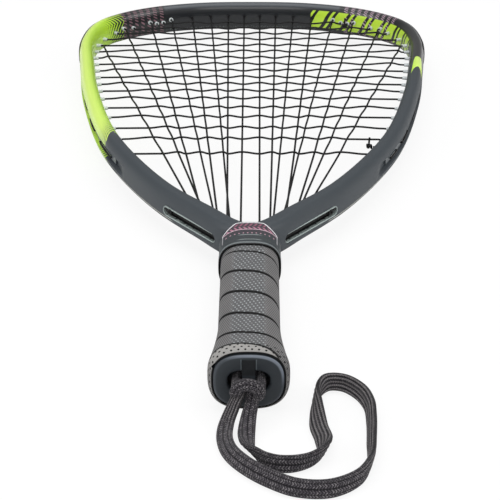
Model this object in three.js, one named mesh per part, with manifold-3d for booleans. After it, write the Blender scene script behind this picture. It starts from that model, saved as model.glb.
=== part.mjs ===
// Racquetball racket, lying on its side faces, in millimetres.
// X runs to the right, Y from the butt to the head, Z up. The origin is under the middle of the racket.

import * as THREE from 'three';
import { mergeVertices } from 'three/addons/utils/BufferGeometryUtils.js';
import Module from 'manifold-3d';

const wasm = await Module();
wasm.setup();

// Overall sizes
const RACKET_LENGTH = 558.8; // butt face to the outside of the head guard
const HEAD_HALF_WIDTH = 120.7; // racket centre to the middle line of the tube at its widest
const THROAT_FROM_BUTT = 153.5; // butt face to the middle line of the tube in the throat
const CLEARANCE = 0.3; // between pieces that touch
const SMALLEST_DETAIL = 0.01; // slivers that a cut leaves are smoothed out below this
const OVERRUN = 2; // how far a cutter runs past the face that it opens

// Frame tube
const TUBE_HEIGHT = 21.2;
const HEAD_TUBE_WIDTH = 10;
const ARM_TUBE_WIDTH = 12.2;
const TUBE_WALL = 1.3;
const CAVITY_SIDES = 6;
const TUBE_POWER = 2.4; // roundness of the section: 2 is an ellipse, more is boxier
const GROOVE_DEPTH = 3.2; // string groove in the outer wall
const GROOVE_FLOOR_WIDTH = 5.4;
const GROOVE_RUN_IN = 25; // along the tube, before the grommet strips begin
const STATION_STEP = 25; // the longest straight piece of a swept tube
const STATION_TURN = 0.3; // the most that it turns in one piece, in radians
// Middle line of half the hoop, from the throat to the top of the head:
// shares of the half width and of the hoop's length.
const HOOP_SHARES = [
  [0, 0], [0.068, 0.0105], [0.207, 0.06], [0.428, 0.145], [0.73, 0.3344], [0.901, 0.5435],
  [0.967, 0.684], [0.999, 0.8], [0.942, 0.886], [0.81, 0.9335], [0.612, 0.97], [0.328, 0.9945], [0, 1],
];
const WIDTH_TAPER_SHARES = [0.25, 0.8]; // of the half hoop, where the arm's width becomes the head's

// Head guard and grommets
const GUARD_THICKNESS = 1.8;
const GUARD_REACH = 178; // along the tube to each side of the top
const STRIP_THICKNESS = 0.8;
const STRIP_WIDTH = 4.6;
const STRING_DIAMETER = 1.3;
const GROMMET_WALL = 0.45;
const GROMMET_SIDES = 5;
const SIDE_GROMMET_PROUD = 3; // past the tube's inner wall
const CORNER_GROMMET_PROUD = 1;
const TOP_GROMMET_PROUD = 0.5;
const TOP_STRIP_MAINS = 4; // long strings to each side of the top whose grommets are in the top strip
const CORNER_REACH = 150; // along the tube from the top, to where the grommets stand proud as along the sides
const STRIP_GAP = 2;
const STRIP_LEAD = 7.9; // of a side strip past its last hole

// Strings: the long ones, counted from the middle outwards, and the cross ones, counted from the head
const STRING_LAYER = STRING_DIAMETER / 2 + CLEARANCE / 2; // long strings lie this far over the middle plane
const MAIN_HEAD_SHARES = [0.05, 0.154, 0.27, 0.396, 0.54, 0.69, 0.903, 1.29]; // of the half width
const TIE_OFF_MAIN = 5; // the head's tie-off hole lies between this long string and the first cross one
const FIRST_CROSS_SHARE = 0.0455; // of the hoop's length, below the tube's middle line at the top
const CROSS_PITCH_SHARE = 0.0335; // of the hoop's length
const CROSS_GAP_SHARES = [
  0.95, 0.86, 0.97, 1, 1, 1, 1, 1, 1, 1, 1, 1.09, 1.26, 1.26, 1.43, 1.38, 1.81,
]; // of the cross pitch, from the head to the throat
const STRING_TURN = 2; // where a string bends, past the grommet's mouth
const KNOT_DIAMETER = 3.6;
const KNOT_LENGTH = 4.2;
const KNOT_SIDES = 8;
const TAIL_LENGTH = 6;

// Arm slots and the string holes in them
const SLOT_CENTRE = 45; // along the tube from the throat
const SLOT_HALF_LENGTH = 26;
const SLOT_HEIGHT = 8.2;
const SLOT_DEPTH = 5;
const INSERT_WALL = 0.8;
const ARM_HOLE_PLACES = [-19.5, -7.5, 5.5]; // the pairs of holes, along the slot from its middle
const ARM_END_HOLE_PLACE = 16.5; // the hole of the outermost string
const PAIR_SPACING = 2.9;

// Yoke, where the hoop meets the handle shaft
const SHAFT_HALF = [11.2, 8.8]; // half width and half height
const SHAFT_START = 13.8; // from the butt face
const SHAFT_BORE_HALF = [4.1, 7];
const SHAFT_BORE_PLACE = 5.7;
const YOKE_START = 127.6;
const YOKE_BORE_END = 136;
const YOKE_STATIONS = [[1, 15.4, 12.6], [11, 15.7, 11.5], [25, 16.3, 10.4], [31.4, 16.3, 8.9]]; // y, half sizes
const YOKE_STRING_PLACE = 5.4; // the two middle strings to each side of the centre
const POCKET_START = 140.6;
const POCKET_LENGTH = 6.2;
const POCKET_HALF_WIDTH = 9.4;
const POCKET_ROOF = 3.4; // over the middle plane

// Handle and grip
const HANDLE_SIDES = 20;
const HANDLE_POWER = 2.7;
const GRIP_HALF = [15.9, 13.9]; // outside of the wrap, half width and half height
const FLARE_HALF = [20.2, 17.9]; // outside of the wrap at the butt
const FLARE_START = 7; // from the butt face
const FLARE_END = 48;
const FLARE_POWER = 1.6;
const WRAP_THICKNESS = 1.9;
const WRAP_PITCH = 23.3;
const WRAP_SEAM = 0.6;
const WRAP_START = 2.4;
const WRAP_END = 126.6;
const WRAP_SEAM_PLACE = 20.6; // where a seam crosses the top of the grip
const WRAP_LEAST_WIDTH = 1.5; // of the strip's tapered ends
const PALLET_END = 126.4;

// Butt cap
const CAP_FACE_HALF = [17.6, 15.2];
const CAP_EDGE = 1.2;
const CAP_WALL = 4;
const CAP_SKIRT_END = 29;
const CAP_SKIRT_STATIONS = [5, 10, 15, 20, 25, 29];
const CAP_SKIRT_GAP = 0.5; // to the wrap
const CAP_HOLE_HALF = [10.4, 6.1];
const BAR_WIDTH = 6.6;
const BAR_THICKNESS = 3;
const BAR_RECESS = 0.8;
const BAR_CHANNEL_HALF_HEIGHT = 12.4;
const TACK_PLACE = [4.5, 17]; // from the centre and from the butt face
const TACK_SINK = 0.9; // head's top under the skirt's surface
const TACK_HEAD_RADIUS = 2;
const TACK_HEAD_THICKNESS = 0.6;
const TACK_SHANK_RADIUS = 0.7;
const TACK_SIDES = 8;

// Rubber collar between the grip and the yoke
const COLLAR_START = 122;
const COLLAR_STATIONS = [[0, 17.3, 15.3], [3, 17.3, 15.3], [7, 17.1, 14.3], [16, 17.2, 12.9], [34, 17.7, 11.9]];
const COLLAR_SOCKET_DEPTH = 5; // over the end of the wrap
const COLLAR_CLEARANCE = 0.5; // to the frame
const COLLAR_SIDE_LENGTH = 19.6;
const COLLAR_SHOULDER = [15.4, 21.8]; // half width and length from its start
const COLLAR_CROWN = [7.2, 31.6];

// Lanyard: a flat braided strap, hitched round the bar and lying on the table on its edge
const STRAP_WIDTH = 8.5;
const STRAP_THICKNESS = 3.2;
const STRAP_SIDES = 8;
const STRAP_STEPS = 60;
const STRAP_TWIST_LENGTH = 30; // in which it turns from flat at the hitch to standing on its edge
const HITCH_WIDTH = 7;
const HITCH_RADIUS = 5.75;
const HITCH_STEPS = 18;
const HITCH_DROP = 0.3;
const HITCH_RISE = 2.3; // of its front over its sides
// Route of the strap's middle line: x, y, and the height over where it lies on its edge
const STRAP_ROUTE = [
  [-4.5, -5.5, 12.8], [-5.2, -7.3, 9.6], [-7.4, -11.2, 4.6], [-10.2, -18, 1.2], [-11.4, -30.6, 0], [-9.5, -42.6, 0],
  [-3.7, -53.3, 0], [7.2, -63, 0], [21.8, -69, 0], [36, -68.6, 0], [48.5, -60, 0], [54.8, -46.6, 0],
  [56.4, -30.6, 0], [58, -12.5, 0], [58, 1, 0], [54.5, 12.4, 0], [47, 20.8, 0], [39, 21, 0],
  [33.8, 12.5, 0], [32.3, -1.3, 0], [34.2, -16.2, 0], [35.7, -27, 0], [33, -37.6, 0], [27, -45.4, 0],
  [18, -50, 0], [9.8, -49, 0], [3.6, -42.6, 0], [0, -36, 0], [-0.6, -26.6, 0.5], [1.6, -16.6, 2.6],
  [3.6, -10.2, 6.2], [4.4, -7, 9.8], [4.5, -5.5, 12.8],
];

// Finishes: colour, roughness, metalness
const FINISHES = {
  satin_paint: [0x4a4f54, 0.45, 0.1],
  black_plastic: [0x1b1c1e, 0.5, 0],
  clear_plastic: [0xd8dce0, 0.25, 0],
  grey_plastic: [0x8d9496, 0.5, 0],
  string: [0x141415, 0.4, 0],
  foam: [0x3a3a3c, 0.9, 0],
  soft_black: [0x202224, 0.7, 0],
  steel: [0xb8bcc0, 0.35, 0.9],
  wrap: [0x77777a, 0.85, 0],
  collar_rubber: [0x35383b, 0.75, 0],
  braid: [0x3c3a40, 0.9, 0],
};

const HOOP_TOP = RACKET_LENGTH - GUARD_THICKNESS - CLEARANCE - HEAD_TUBE_WIDTH / 2;
const HOOP_REACH = HOOP_TOP - THROAT_FROM_BUTT;

const UPWARD = new THREE.Vector3(0, 0, 1);

// Shapes

function superellipse(angle, halfWidth, halfHeight, power) {
  const across = Math.cos(angle);
  const up = Math.sin(angle);
  return [
    Math.sign(across) * Math.abs(across) ** (2 / power) * halfWidth,
    Math.sign(up) * Math.abs(up) ** (2 / power) * halfHeight,
  ];
}

function signedArea(points) {
  return THREE.ShapeUtils.area(points);
}

// Triangles that close a ring of points, as index triples in the ring's own direction
function capTriangles(ring) {
  const normal = new THREE.Vector3();
  ring.forEach((point, i) => normal.add(point.clone().cross(ring[(i + 1) % ring.length])));
  normal.normalize();
  const across = ring[1].clone().sub(ring[0]);
  across.addScaledVector(normal, -across.dot(normal)).normalize();
  const up = normal.clone().cross(across);
  const flat = ring.map((point) => new THREE.Vector2(point.dot(across), point.dot(up)));
  const turn = Math.sign(signedArea(flat));
  return THREE.ShapeUtils.triangulateShape(flat, []).map((corners) => {
    const same = Math.sign(signedArea(corners.map((corner) => flat[corner]))) === turn;
    return same ? corners : [...corners].reverse();
  });
}

// Closed body through rings of equally many points; closed joins the last ring to the first
function loft(rings, closed = false) {
  const sides = rings[0].length;
  const index = [];
  const spans = closed ? rings.length : rings.length - 1;
  for (let i = 0; i < spans; i++) {
    const low = i * sides;
    const high = ((i + 1) % rings.length) * sides;
    for (let j = 0; j < sides; j++) {
      const next = (j + 1) % sides;
      index.push(low + j, low + next, high + next, low + j, high + next, high + j);
    }
  }
  if (!closed) {
    const last = (rings.length - 1) * sides;
    for (const [a, b, c] of capTriangles(rings[0])) index.push(c, b, a);
    for (const [a, b, c] of capTriangles(rings[rings.length - 1])) index.push(last + a, last + b, last + c);
  }
  const geometry = new THREE.BufferGeometry();
  geometry.setAttribute('position', new THREE.Float32BufferAttribute(rings.flat().flatMap((p) => p.toArray()), 3));
  geometry.setIndex(index);
  return enclosedVolume(geometry) < 0 ? insideOut(geometry) : geometry;
}

function enclosedVolume(geometry) {
  const corner = [0, 1, 2].map(() => new THREE.Vector3());
  const position = geometry.getAttribute('position');
  let sum = 0;
  for (let i = 0; i < geometry.index.count; i += 3) {
    corner.forEach((point, k) => point.fromBufferAttribute(position, geometry.index.getX(i + k)));
    sum += corner[0].dot(corner[1].clone().cross(corner[2]));
  }
  return sum;
}

function insideOut(geometry) {
  const count = geometry.getAttribute('position').count;
  const index = geometry.index ? Array.from(geometry.index.array) : Array.from({ length: count }, (_, i) => i);
  geometry.setIndex(index.map((value, i) => (i % 3 === 0 ? value : index[i + (i % 3 === 1 ? 1 : -1)])));
  return geometry;
}

function mirrored(geometry) {
  return insideOut(geometry.clone().scale(-1, 1, 1));
}

function toSolid(geometry) {
  const bare = geometry.clone();
  bare.deleteAttribute('normal');
  bare.deleteAttribute('uv');
  const merged = mergeVertices(bare);
  return new wasm.Manifold(new wasm.Mesh({
    numProp: 3,
    vertProperties: Float32Array.from(merged.getAttribute('position').array),
    triVerts: Uint32Array.from(merged.index.array),
  }));
}

function toGeometry(solid) {
  const mesh = solid.simplify(SMALLEST_DETAIL).getMesh();
  const geometry = new THREE.BufferGeometry();
  geometry.setAttribute('position', new THREE.BufferAttribute(Float32Array.from(mesh.vertProperties), 3));
  geometry.setIndex(Array.from(mesh.triVerts));
  return geometry;
}

function cut(body, cutters) {
  return cutters.reduce((solid, cutter) => solid.subtract(toSolid(cutter)), body);
}

function join(body, pieces) {
  return pieces.reduce((solid, piece) => solid.add(toSolid(piece)), body);
}

// Straight rod between two points
function rod(from, to, radius, sides = GROMMET_SIDES) {
  const run = to.clone().sub(from);
  const geometry = new THREE.CylinderGeometry(radius, radius, run.length(), sides);
  geometry.applyQuaternion(new THREE.Quaternion().setFromUnitVectors(new THREE.Vector3(0, 1, 0), run.normalize()));
  const middle = from.clone().add(to).multiplyScalar(0.5);
  return geometry.translate(middle.x, middle.y, middle.z);
}

function block(low, high) {
  const size = high.map((value, i) => value - low[i]);
  const geometry = new THREE.BoxGeometry(...size);
  return geometry.translate(...low.map((value, i) => value + size[i] / 2));
}

// String along a list of points, mitred where it turns
function stringAlong(points) {
  const rings = [];
  const start = points[1].clone().sub(points[0]).normalize();
  const across = new THREE.Vector3(start.y, -start.x, 0).normalize();
  const up = start.clone().cross(across);
  let ring = [];
  for (let j = 0; j < GROMMET_SIDES; j++) {
    const angle = (j / GROMMET_SIDES) * Math.PI * 2;
    const [a, b] = superellipse(angle, STRING_DIAMETER / 2, STRING_DIAMETER / 2, 2);
    ring.push(points[0].clone().addScaledVector(across, a).addScaledVector(up, b));
  }
  rings.push(ring);
  for (let i = 1; i < points.length; i++) {
    const into = points[i].clone().sub(points[i - 1]).normalize();
    const out = i < points.length - 1 ? points[i + 1].clone().sub(points[i]).normalize() : into;
    const facing = into.clone().add(out).normalize();
    ring = ring.map((point) => {
      const run = points[i].clone().sub(point).dot(facing) / into.dot(facing);
      return point.clone().addScaledVector(into, run);
    });
    rings.push(ring);
  }
  return loft(rings);
}

// The hoop's middle line

const outline = [];
HOOP_SHARES.forEach(([x, y]) => {
  outline.push(new THREE.Vector3(x * HEAD_HALF_WIDTH, THROAT_FROM_BUTT + y * HOOP_REACH, 0));
});
HOOP_SHARES.slice(1, -1).reverse().forEach(([x, y]) => {
  outline.push(new THREE.Vector3(-x * HEAD_HALF_WIDTH, THROAT_FROM_BUTT + y * HOOP_REACH, 0));
});
const hoopCurve = new THREE.CatmullRomCurve3(outline, true, 'centripetal');
hoopCurve.arcLengthDivisions = 3000;
const HOOP_LENGTH = hoopCurve.getLength();
const HALF_HOOP = HOOP_LENGTH / 2;

// The tube without its groove, at a distance along the hoop from the throat up the right-hand side
function plainTubeAt(distance) {
  const share = THREE.MathUtils.euclideanModulo(distance / HOOP_LENGTH, 1);
  const point = hoopCurve.getPointAt(share);
  const tangent = hoopCurve.getTangentAt(share);
  const outward = new THREE.Vector3(tangent.y, -tangent.x, 0).normalize();
  const fromThroat = Math.min(share, 1 - share) * HOOP_LENGTH;
  const taper = THREE.MathUtils.smoothstep(fromThroat / HALF_HOOP, ...WIDTH_TAPER_SHARES);
  const halfWidth = THREE.MathUtils.lerp(ARM_TUBE_WIDTH, HEAD_TUBE_WIDTH, taper) / 2;
  return { point, tangent, outward, fromThroat, halfWidth };
}

// A point beside the middle line: so far outward and so far up
function beside(tube, out, up) {
  const point = tube.point.clone().addScaledVector(tube.outward, out);
  point.z += up;
  return point;
}

// Distance along the right-hand side at which a rising measure of it reaches a target
function distanceWhere(measure, target, from, to) {
  let [low, high] = [from, to];
  for (let i = 0; i < 50; i++) {
    const middle = (low + high) / 2;
    if (measure(middle) < target) low = middle;
    else high = middle;
  }
  return low;
}

function innerWall(distance) {
  const tube = plainTubeAt(distance);
  return beside(tube, -tube.halfWidth, 0);
}

const mainDistances = MAIN_HEAD_SHARES.map((share) => HALF_HOOP - share * HEAD_HALF_WIDTH);
const [lastTopMain, firstSideMain] = mainDistances.slice(TOP_STRIP_MAINS - 1);
const TOP_STRIP_REACH = HALF_HOOP - (lastTopMain + firstSideMain) / 2; // along the tube to each side of the top

// How far the grommet at a distance along the hoop stands past the inner wall
function proudAt(distance) {
  const fromTop = HALF_HOOP - distance;
  if (fromTop < TOP_STRIP_REACH) return TOP_GROMMET_PROUD;
  const share = THREE.MathUtils.smoothstep(fromTop, TOP_STRIP_REACH, CORNER_REACH);
  return THREE.MathUtils.lerp(CORNER_GROMMET_PROUD, SIDE_GROMMET_PROUD, share);
}

// Inner end of a string hole, where the string bends
function mouthAt(distance, up, proud) {
  const tube = plainTubeAt(distance);
  return beside(tube, -tube.halfWidth - proud - STRING_TURN, up);
}

// Distance along the right-hand side at which a cross string's mouth is so far from the butt
function crossDistance(y) {
  return distanceWhere((distance) => mouthAt(distance, 0, proudAt(distance)).y, y, SLOT_CENTRE, HALF_HOOP);
}

const crossHeights = [HOOP_TOP - FIRST_CROSS_SHARE * HOOP_REACH];
CROSS_GAP_SHARES.forEach((share) => {
  crossHeights.push(crossHeights[crossHeights.length - 1] - share * CROSS_PITCH_SHARE * HOOP_REACH);
});
const crossDistances = crossHeights.map(crossDistance);
const tieOffDistances = [
  [crossDistances[0], mainDistances[TIE_OFF_MAIN]], crossDistances.slice(-2),
].map(([a, b]) => (a + b) / 2);
const STRIP_START = crossDistances[crossDistances.length - 1] - STRIP_LEAD; // of the side strips, from the throat

// The tube with the string groove in its outer wall
function tubeAt(distance) {
  const tube = plainTubeAt(distance);
  const depth = GROOVE_DEPTH * THREE.MathUtils.smoothstep(tube.fromThroat, STRIP_START - GROOVE_RUN_IN, STRIP_START);
  return { ...tube, grooveFloor: tube.halfWidth - depth };
}

const yokeStringDistance = distanceWhere((distance) => innerWall(distance).x, YOKE_STRING_PLACE, 0, SLOT_CENTRE);

// Distances at which the tube's straight pieces meet, closer where it curves
function hoopStations() {
  const forced = [yokeStringDistance, STRIP_START - GROOVE_RUN_IN, STRIP_START, HALF_HOOP];
  const stations = [0];
  const fine = HALF_HOOP / 2000;
  let budget = 0;
  let last = tubeAt(0).tangent;
  for (let distance = fine; distance < HALF_HOOP; distance += fine) {
    const { tangent } = tubeAt(distance);
    budget += fine / STATION_STEP + last.angleTo(tangent) / STATION_TURN;
    last = tangent;
    const ahead = forced.find((place) => place > distance - fine);
    if (budget >= 1 && ahead - distance > STATION_STEP / 3) {
      stations.push(distance);
      budget = 0;
    } else if (ahead <= distance) {
      stations.push(ahead);
      budget = 0;
    }
  }
  const left = stations.slice(1).map((distance) => HOOP_LENGTH - distance).reverse();
  return [...stations, HALF_HOOP, ...left];
}

const STATIONS = hoopStations();

function stationsBetween(from, to) {
  const [low, high] = from < to ? [from, to] : [to, from];
  const between = STATIONS.filter((distance) => distance > low + OVERRUN && distance < high - OVERRUN);
  return from < to ? [low, ...between, high] : [high, ...between.reverse(), low];
}

const TUBE_ANGLES = [18, 43, 72, 108, 137, 162, 198, 223, 252, 288, 317, 342].map(THREE.MathUtils.degToRad);

// Outer section of the tube, with the groove's floor as the last two points
function tubeRing(distance, grow = 0) {
  const tube = tubeAt(distance);
  const ring = TUBE_ANGLES.map((angle) => {
    const [out, up] = superellipse(angle, tube.halfWidth + grow, TUBE_HEIGHT / 2 + grow, TUBE_POWER);
    return beside(tube, out, up);
  });
  for (const side of [-1, 1]) {
    ring.push(beside(tube, tube.grooveFloor + grow, (side * GROOVE_FLOOR_WIDTH) / 2));
  }
  return ring;
}

function cavityRing(distance) {
  const tube = tubeAt(distance);
  const inner = -tube.halfWidth + TUBE_WALL;
  const outer = tube.halfWidth - GROOVE_DEPTH - TUBE_WALL;
  const ring = [];
  for (let j = 0; j < CAVITY_SIDES; j++) {
    const angle = ((j + 0.5) / CAVITY_SIDES) * Math.PI * 2;
    const [out, up] = superellipse(angle, (outer - inner) / 2, TUBE_HEIGHT / 2 - TUBE_WALL, TUBE_POWER);
    ring.push(beside(tube, (inner + outer) / 2 + out, up));
  }
  return ring;
}

// Sections of the handle, square to Y

function handleRing(y, halfWidth, halfHeight) {
  const ring = [];
  for (let j = 0; j < HANDLE_SIDES; j++) {
    const angle = ((j + 0.5) / HANDLE_SIDES) * Math.PI * 2;
    const [x, z] = superellipse(angle, halfWidth, halfHeight, HANDLE_POWER);
    ring.push(new THREE.Vector3(x, y, z));
  }
  return ring;
}

function handleLoft(stations, grow = 0) {
  return loft(stations.map(([y, halfWidth, halfHeight]) => handleRing(y, halfWidth + grow, halfHeight + grow)));
}

// How far the grip has flared at a distance from the butt, from 0 to 1
function flare(y) {
  return THREE.MathUtils.clamp((FLARE_END - y) / (FLARE_END - FLARE_START), 0, 1) ** FLARE_POWER;
}

// Half width and half height of the wrap's outside, or of a surface under it
function gripHalf(y, under = 0) {
  return GRIP_HALF.map((half, i) => THREE.MathUtils.lerp(half, FLARE_HALF[i], flare(y)) - under);
}

const PALLET_HALF = GRIP_HALF.map((half) => half - WRAP_THICKNESS - CLEARANCE);
const REST_HEIGHT = superellipse((4.5 / HANDLE_SIDES) * Math.PI * 2, ...FLARE_HALF, HANDLE_POWER)[1];

// String holes

// Radius of a hole with flat sides that stay clear of a rod in it
function clearOf(radius, sides = GROMMET_SIDES) {
  return radius + CLEARANCE / Math.cos(Math.PI / sides);
}

const STRING_RADIUS = STRING_DIAMETER / 2;
const BORE_RADIUS = (STRING_RADIUS + CLEARANCE) / Math.cos(Math.PI / GROMMET_SIDES);
const BARREL_RADIUS = BORE_RADIUS + GROMMET_WALL;
const HOLE_RADIUS = clearOf(BARREL_RADIUS);
const STRIP_TOP = CLEARANCE + STRIP_THICKNESS; // over the groove's floor
const LOOP_HEIGHT = STRIP_TOP + CLEARANCE + STRING_RADIUS;

function loopPoint(distance, up) {
  const tube = tubeAt(distance);
  return beside(tube, tube.grooveFloor + LOOP_HEIGHT, up);
}

// Every hole on the right-hand side of the hoop: distance, height, and how far its grommet stands proud
const hoopHoles = [
  ...mainDistances.map((distance) => ({ distance, up: STRING_LAYER })),
  ...crossDistances.map((distance) => ({ distance, up: -STRING_LAYER })),
  ...tieOffDistances.map((distance) => ({ distance, up: -STRING_LAYER })),
];
hoopHoles.forEach((hole) => {
  hole.top = hole.distance > HALF_HOOP - TOP_STRIP_REACH;
  hole.proud = proudAt(hole.distance);
});

function hoopHoleCutter({ distance, up, proud }) {
  const tube = tubeAt(distance);
  const reach = tube.halfWidth + proud + OVERRUN;
  return rod(beside(tube, -reach, up), beside(tube, reach, up), HOLE_RADIUS);
}

function hoopBarrel({ distance, up, proud }) {
  const tube = tubeAt(distance);
  const from = beside(tube, -tube.halfWidth - proud, up);
  return rod(from, beside(tube, tube.grooveFloor + CLEARANCE + STRIP_THICKNESS / 2, up), BARREL_RADIUS);
}

function hoopBore({ distance, up, proud }) {
  const tube = tubeAt(distance);
  const reach = tube.halfWidth + proud + OVERRUN;
  return rod(beside(tube, -reach, up), beside(tube, reach, up), BORE_RADIUS);
}

// Right-hand arm slot: its own axes are along the arm, up, and outward

const slotTube = tubeAt(SLOT_CENTRE);
const slotFrame = new THREE.Matrix4().makeBasis(
  slotTube.tangent, new THREE.Vector3(0, 0, 1), slotTube.outward,
).setPosition(slotTube.point);
const SLOT_FLOOR = slotTube.halfWidth - SLOT_DEPTH;

function inSlot(along, up, out) {
  return new THREE.Vector3(along, up, out).applyMatrix4(slotFrame);
}

function stadium(halfLength, halfHeight, from, to) {
  const shape = new THREE.Shape();
  const straight = halfLength - halfHeight;
  shape.absarc(straight, 0, halfHeight, -Math.PI / 2, Math.PI / 2);
  shape.absarc(-straight, 0, halfHeight, Math.PI / 2, Math.PI * 1.5);
  const geometry = new THREE.ExtrudeGeometry(shape, { depth: to - from, bevelEnabled: false, curveSegments: 5 });
  return geometry.translate(0, 0, from).applyMatrix4(slotFrame);
}

function slotStadium(shrink, from, to) {
  return stadium(SLOT_HALF_LENGTH - shrink, SLOT_HEIGHT / 2 - shrink, from, to);
}

const armHoles = [
  ...ARM_HOLE_PLACES.flatMap((place) => [place - PAIR_SPACING / 2, place + PAIR_SPACING / 2]),
  ARM_END_HOLE_PLACE,
];

// How far under the slot's floor the arm's inner wall lies
function armWallDepth(along) {
  const tube = tubeAt(SLOT_CENTRE + along);
  const wall = beside(tube, -tube.halfWidth, 0);
  return inSlot(along, 0, SLOT_FLOOR).sub(wall).dot(slotTube.outward);
}

function armRod(along, top, proud, radius) {
  const bottom = SLOT_FLOOR - armWallDepth(along) - proud;
  return rod(inSlot(along, STRING_LAYER, bottom), inSlot(along, STRING_LAYER, top), radius);
}

function armMouth(along) {
  return inSlot(along, STRING_LAYER, SLOT_FLOOR - armWallDepth(along) - TOP_GROMMET_PROUD - STRING_TURN);
}

function armLoop(along) {
  return inSlot(along, STRING_LAYER, SLOT_FLOOR + LOOP_HEIGHT);
}

// Yoke

const YOKE_ROOF = innerWall(yokeStringDistance).y; // the throat's inner wall at the two middle strings
const POCKET_END = POCKET_START + POCKET_LENGTH;

function yokeSolid(grow = 0) {
  const stations = YOKE_STATIONS.map(([y, ...half]) => [YOKE_START + y, ...half]);
  const shaft = [[SHAFT_START, ...SHAFT_HALF], [YOKE_START, ...SHAFT_HALF]];
  return toSolid(handleLoft([...shaft, ...stations], grow));
}

function hoopSolid(grow = 0) {
  return toSolid(loft(STATIONS.map((distance) => tubeRing(distance, grow)), true));
}

function yokeRod(side, radius, from, to) {
  const x = side * YOKE_STRING_PLACE;
  return rod(new THREE.Vector3(x, from, STRING_LAYER), new THREE.Vector3(x, to, STRING_LAYER), radius);
}

// Pieces

function makeFrame() {
  const cavity = toSolid(loft(STATIONS.map(cavityRing), true));
  const slotRoom = slotStadium(-TUBE_WALL, SLOT_FLOOR - TUBE_WALL, slotTube.halfWidth + OVERRUN);
  const shaftBores = [-1, 1].map((side) => {
    const ring = (y) => handleRing(y, ...SHAFT_BORE_HALF).map((p) => p.setX(p.x + side * SHAFT_BORE_PLACE));
    return loft([ring(SHAFT_START - OVERRUN), ring(YOKE_BORE_END)]);
  });
  const pocket = block(
    [-POCKET_HALF_WIDTH, POCKET_START, -TUBE_HEIGHT], [POCKET_HALF_WIDTH, POCKET_END, POCKET_ROOF],
  );
  const slot = slotStadium(0, SLOT_FLOOR, slotTube.halfWidth + OVERRUN);
  const rightHoles = [
    ...hoopHoles.map(hoopHoleCutter),
    ...armHoles.map((along) => armRod(along, slotTube.halfWidth, OVERRUN, HOLE_RADIUS)),
  ];
  const room = cut(cavity, [slotRoom, mirrored(slotRoom)]);
  const body = hoopSolid().add(yokeSolid()).subtract(room);
  return toGeometry(cut(body, [
    ...shaftBores, pocket, slot, mirrored(slot), ...rightHoles, ...rightHoles.map(mirrored),
    ...[-1, 1].map((side) => yokeRod(side, HOLE_RADIUS, POCKET_START + OVERRUN, YOKE_ROOF + OVERRUN)),
  ]));
}

function makeGuard() {
  const distances = stationsBetween(HALF_HOOP - GUARD_REACH, HALF_HOOP + GUARD_REACH);
  const [inner, outer] = [TUBE_ANGLES[0], TUBE_ANGLES[1]];
  const arc = (tube, grow, angles) => angles.map((angle) => {
    const [out, up] = superellipse(angle, tube.halfWidth + grow, TUBE_HEIGHT / 2 + grow, TUBE_POWER);
    return beside(tube, out, up);
  });
  return loft(distances.map((distance) => {
    const tube = tubeAt(distance);
    const under = arc(tube, CLEARANCE, [-outer, -inner, inner, outer]);
    return [...under, ...arc(tube, CLEARANCE + GUARD_THICKNESS, [outer, inner, 0, -inner, -outer])];
  }));
}

// Strip of grommets along the groove, with a barrel at each hole
function makeGrommetStrip(from, to, holes) {
  const strip = loft(stationsBetween(from, to).map((distance) => {
    const tube = tubeAt(distance);
    const corners = [[CLEARANCE, -1], [STRIP_TOP, -1], [STRIP_TOP, 1], [CLEARANCE, 1]];
    return corners.map(([out, side]) => beside(tube, tube.grooveFloor + out, (side * STRIP_WIDTH) / 2));
  }));
  return toGeometry(cut(join(toSolid(strip), holes.map(hoopBarrel)), holes.map(hoopBore)));
}

function makeTopGrommets() {
  const right = hoopHoles.filter((hole) => hole.top);
  const left = right.map((hole) => ({ ...hole, distance: HOOP_LENGTH - hole.distance }));
  return makeGrommetStrip(HALF_HOOP - TOP_STRIP_REACH, HALF_HOOP + TOP_STRIP_REACH, [...right, ...left]);
}

function makeRightGrommets() {
  const end = HALF_HOOP - TOP_STRIP_REACH - STRIP_GAP;
  return makeGrommetStrip(STRIP_START, end, hoopHoles.filter((hole) => !hole.top));
}

// Tray in the right-hand arm slot, with a barrel at each hole
function makeRightInsert() {
  const tray = toSolid(slotStadium(CLEARANCE, SLOT_FLOOR + CLEARANCE, slotTube.halfWidth));
  const hollow = slotStadium(CLEARANCE + INSERT_WALL, SLOT_FLOOR + STRIP_TOP, slotTube.halfWidth + OVERRUN);
  const barrelTop = SLOT_FLOOR + CLEARANCE + STRIP_THICKNESS / 2;
  const barrels = armHoles.map((along) => armRod(along, barrelTop, TOP_GROMMET_PROUD, BARREL_RADIUS));
  const bores = armHoles.map((along) => armRod(along, slotTube.halfWidth, OVERRUN, BORE_RADIUS));
  return toGeometry(cut(join(cut(tray, [hollow]), barrels), bores));
}

// Plate with two barrels for the middle strings, at the head end of the yoke's pocket
function makeYokeGrommets() {
  const halfWidth = POCKET_HALF_WIDTH - CLEARANCE;
  const top = POCKET_END - CLEARANCE;
  const plate = block(
    [-halfWidth, top - STRIP_THICKNESS, STRING_LAYER - STRIP_WIDTH / 2],
    [halfWidth, top, STRING_LAYER + STRIP_WIDTH / 2],
  );
  const barrelEnd = YOKE_ROOF + TOP_GROMMET_PROUD;
  const barrels = [-1, 1].map((side) => yokeRod(side, BARREL_RADIUS, top - STRIP_THICKNESS / 2, barrelEnd));
  const bores = [-1, 1].map((side) => yokeRod(side, BORE_RADIUS, POCKET_START, barrelEnd + OVERRUN));
  return toGeometry(cut(join(toSolid(plate), barrels), bores));
}

function flipped(points) {
  return points.map((point) => new THREE.Vector3(-point.x, point.y, point.z));
}

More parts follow.
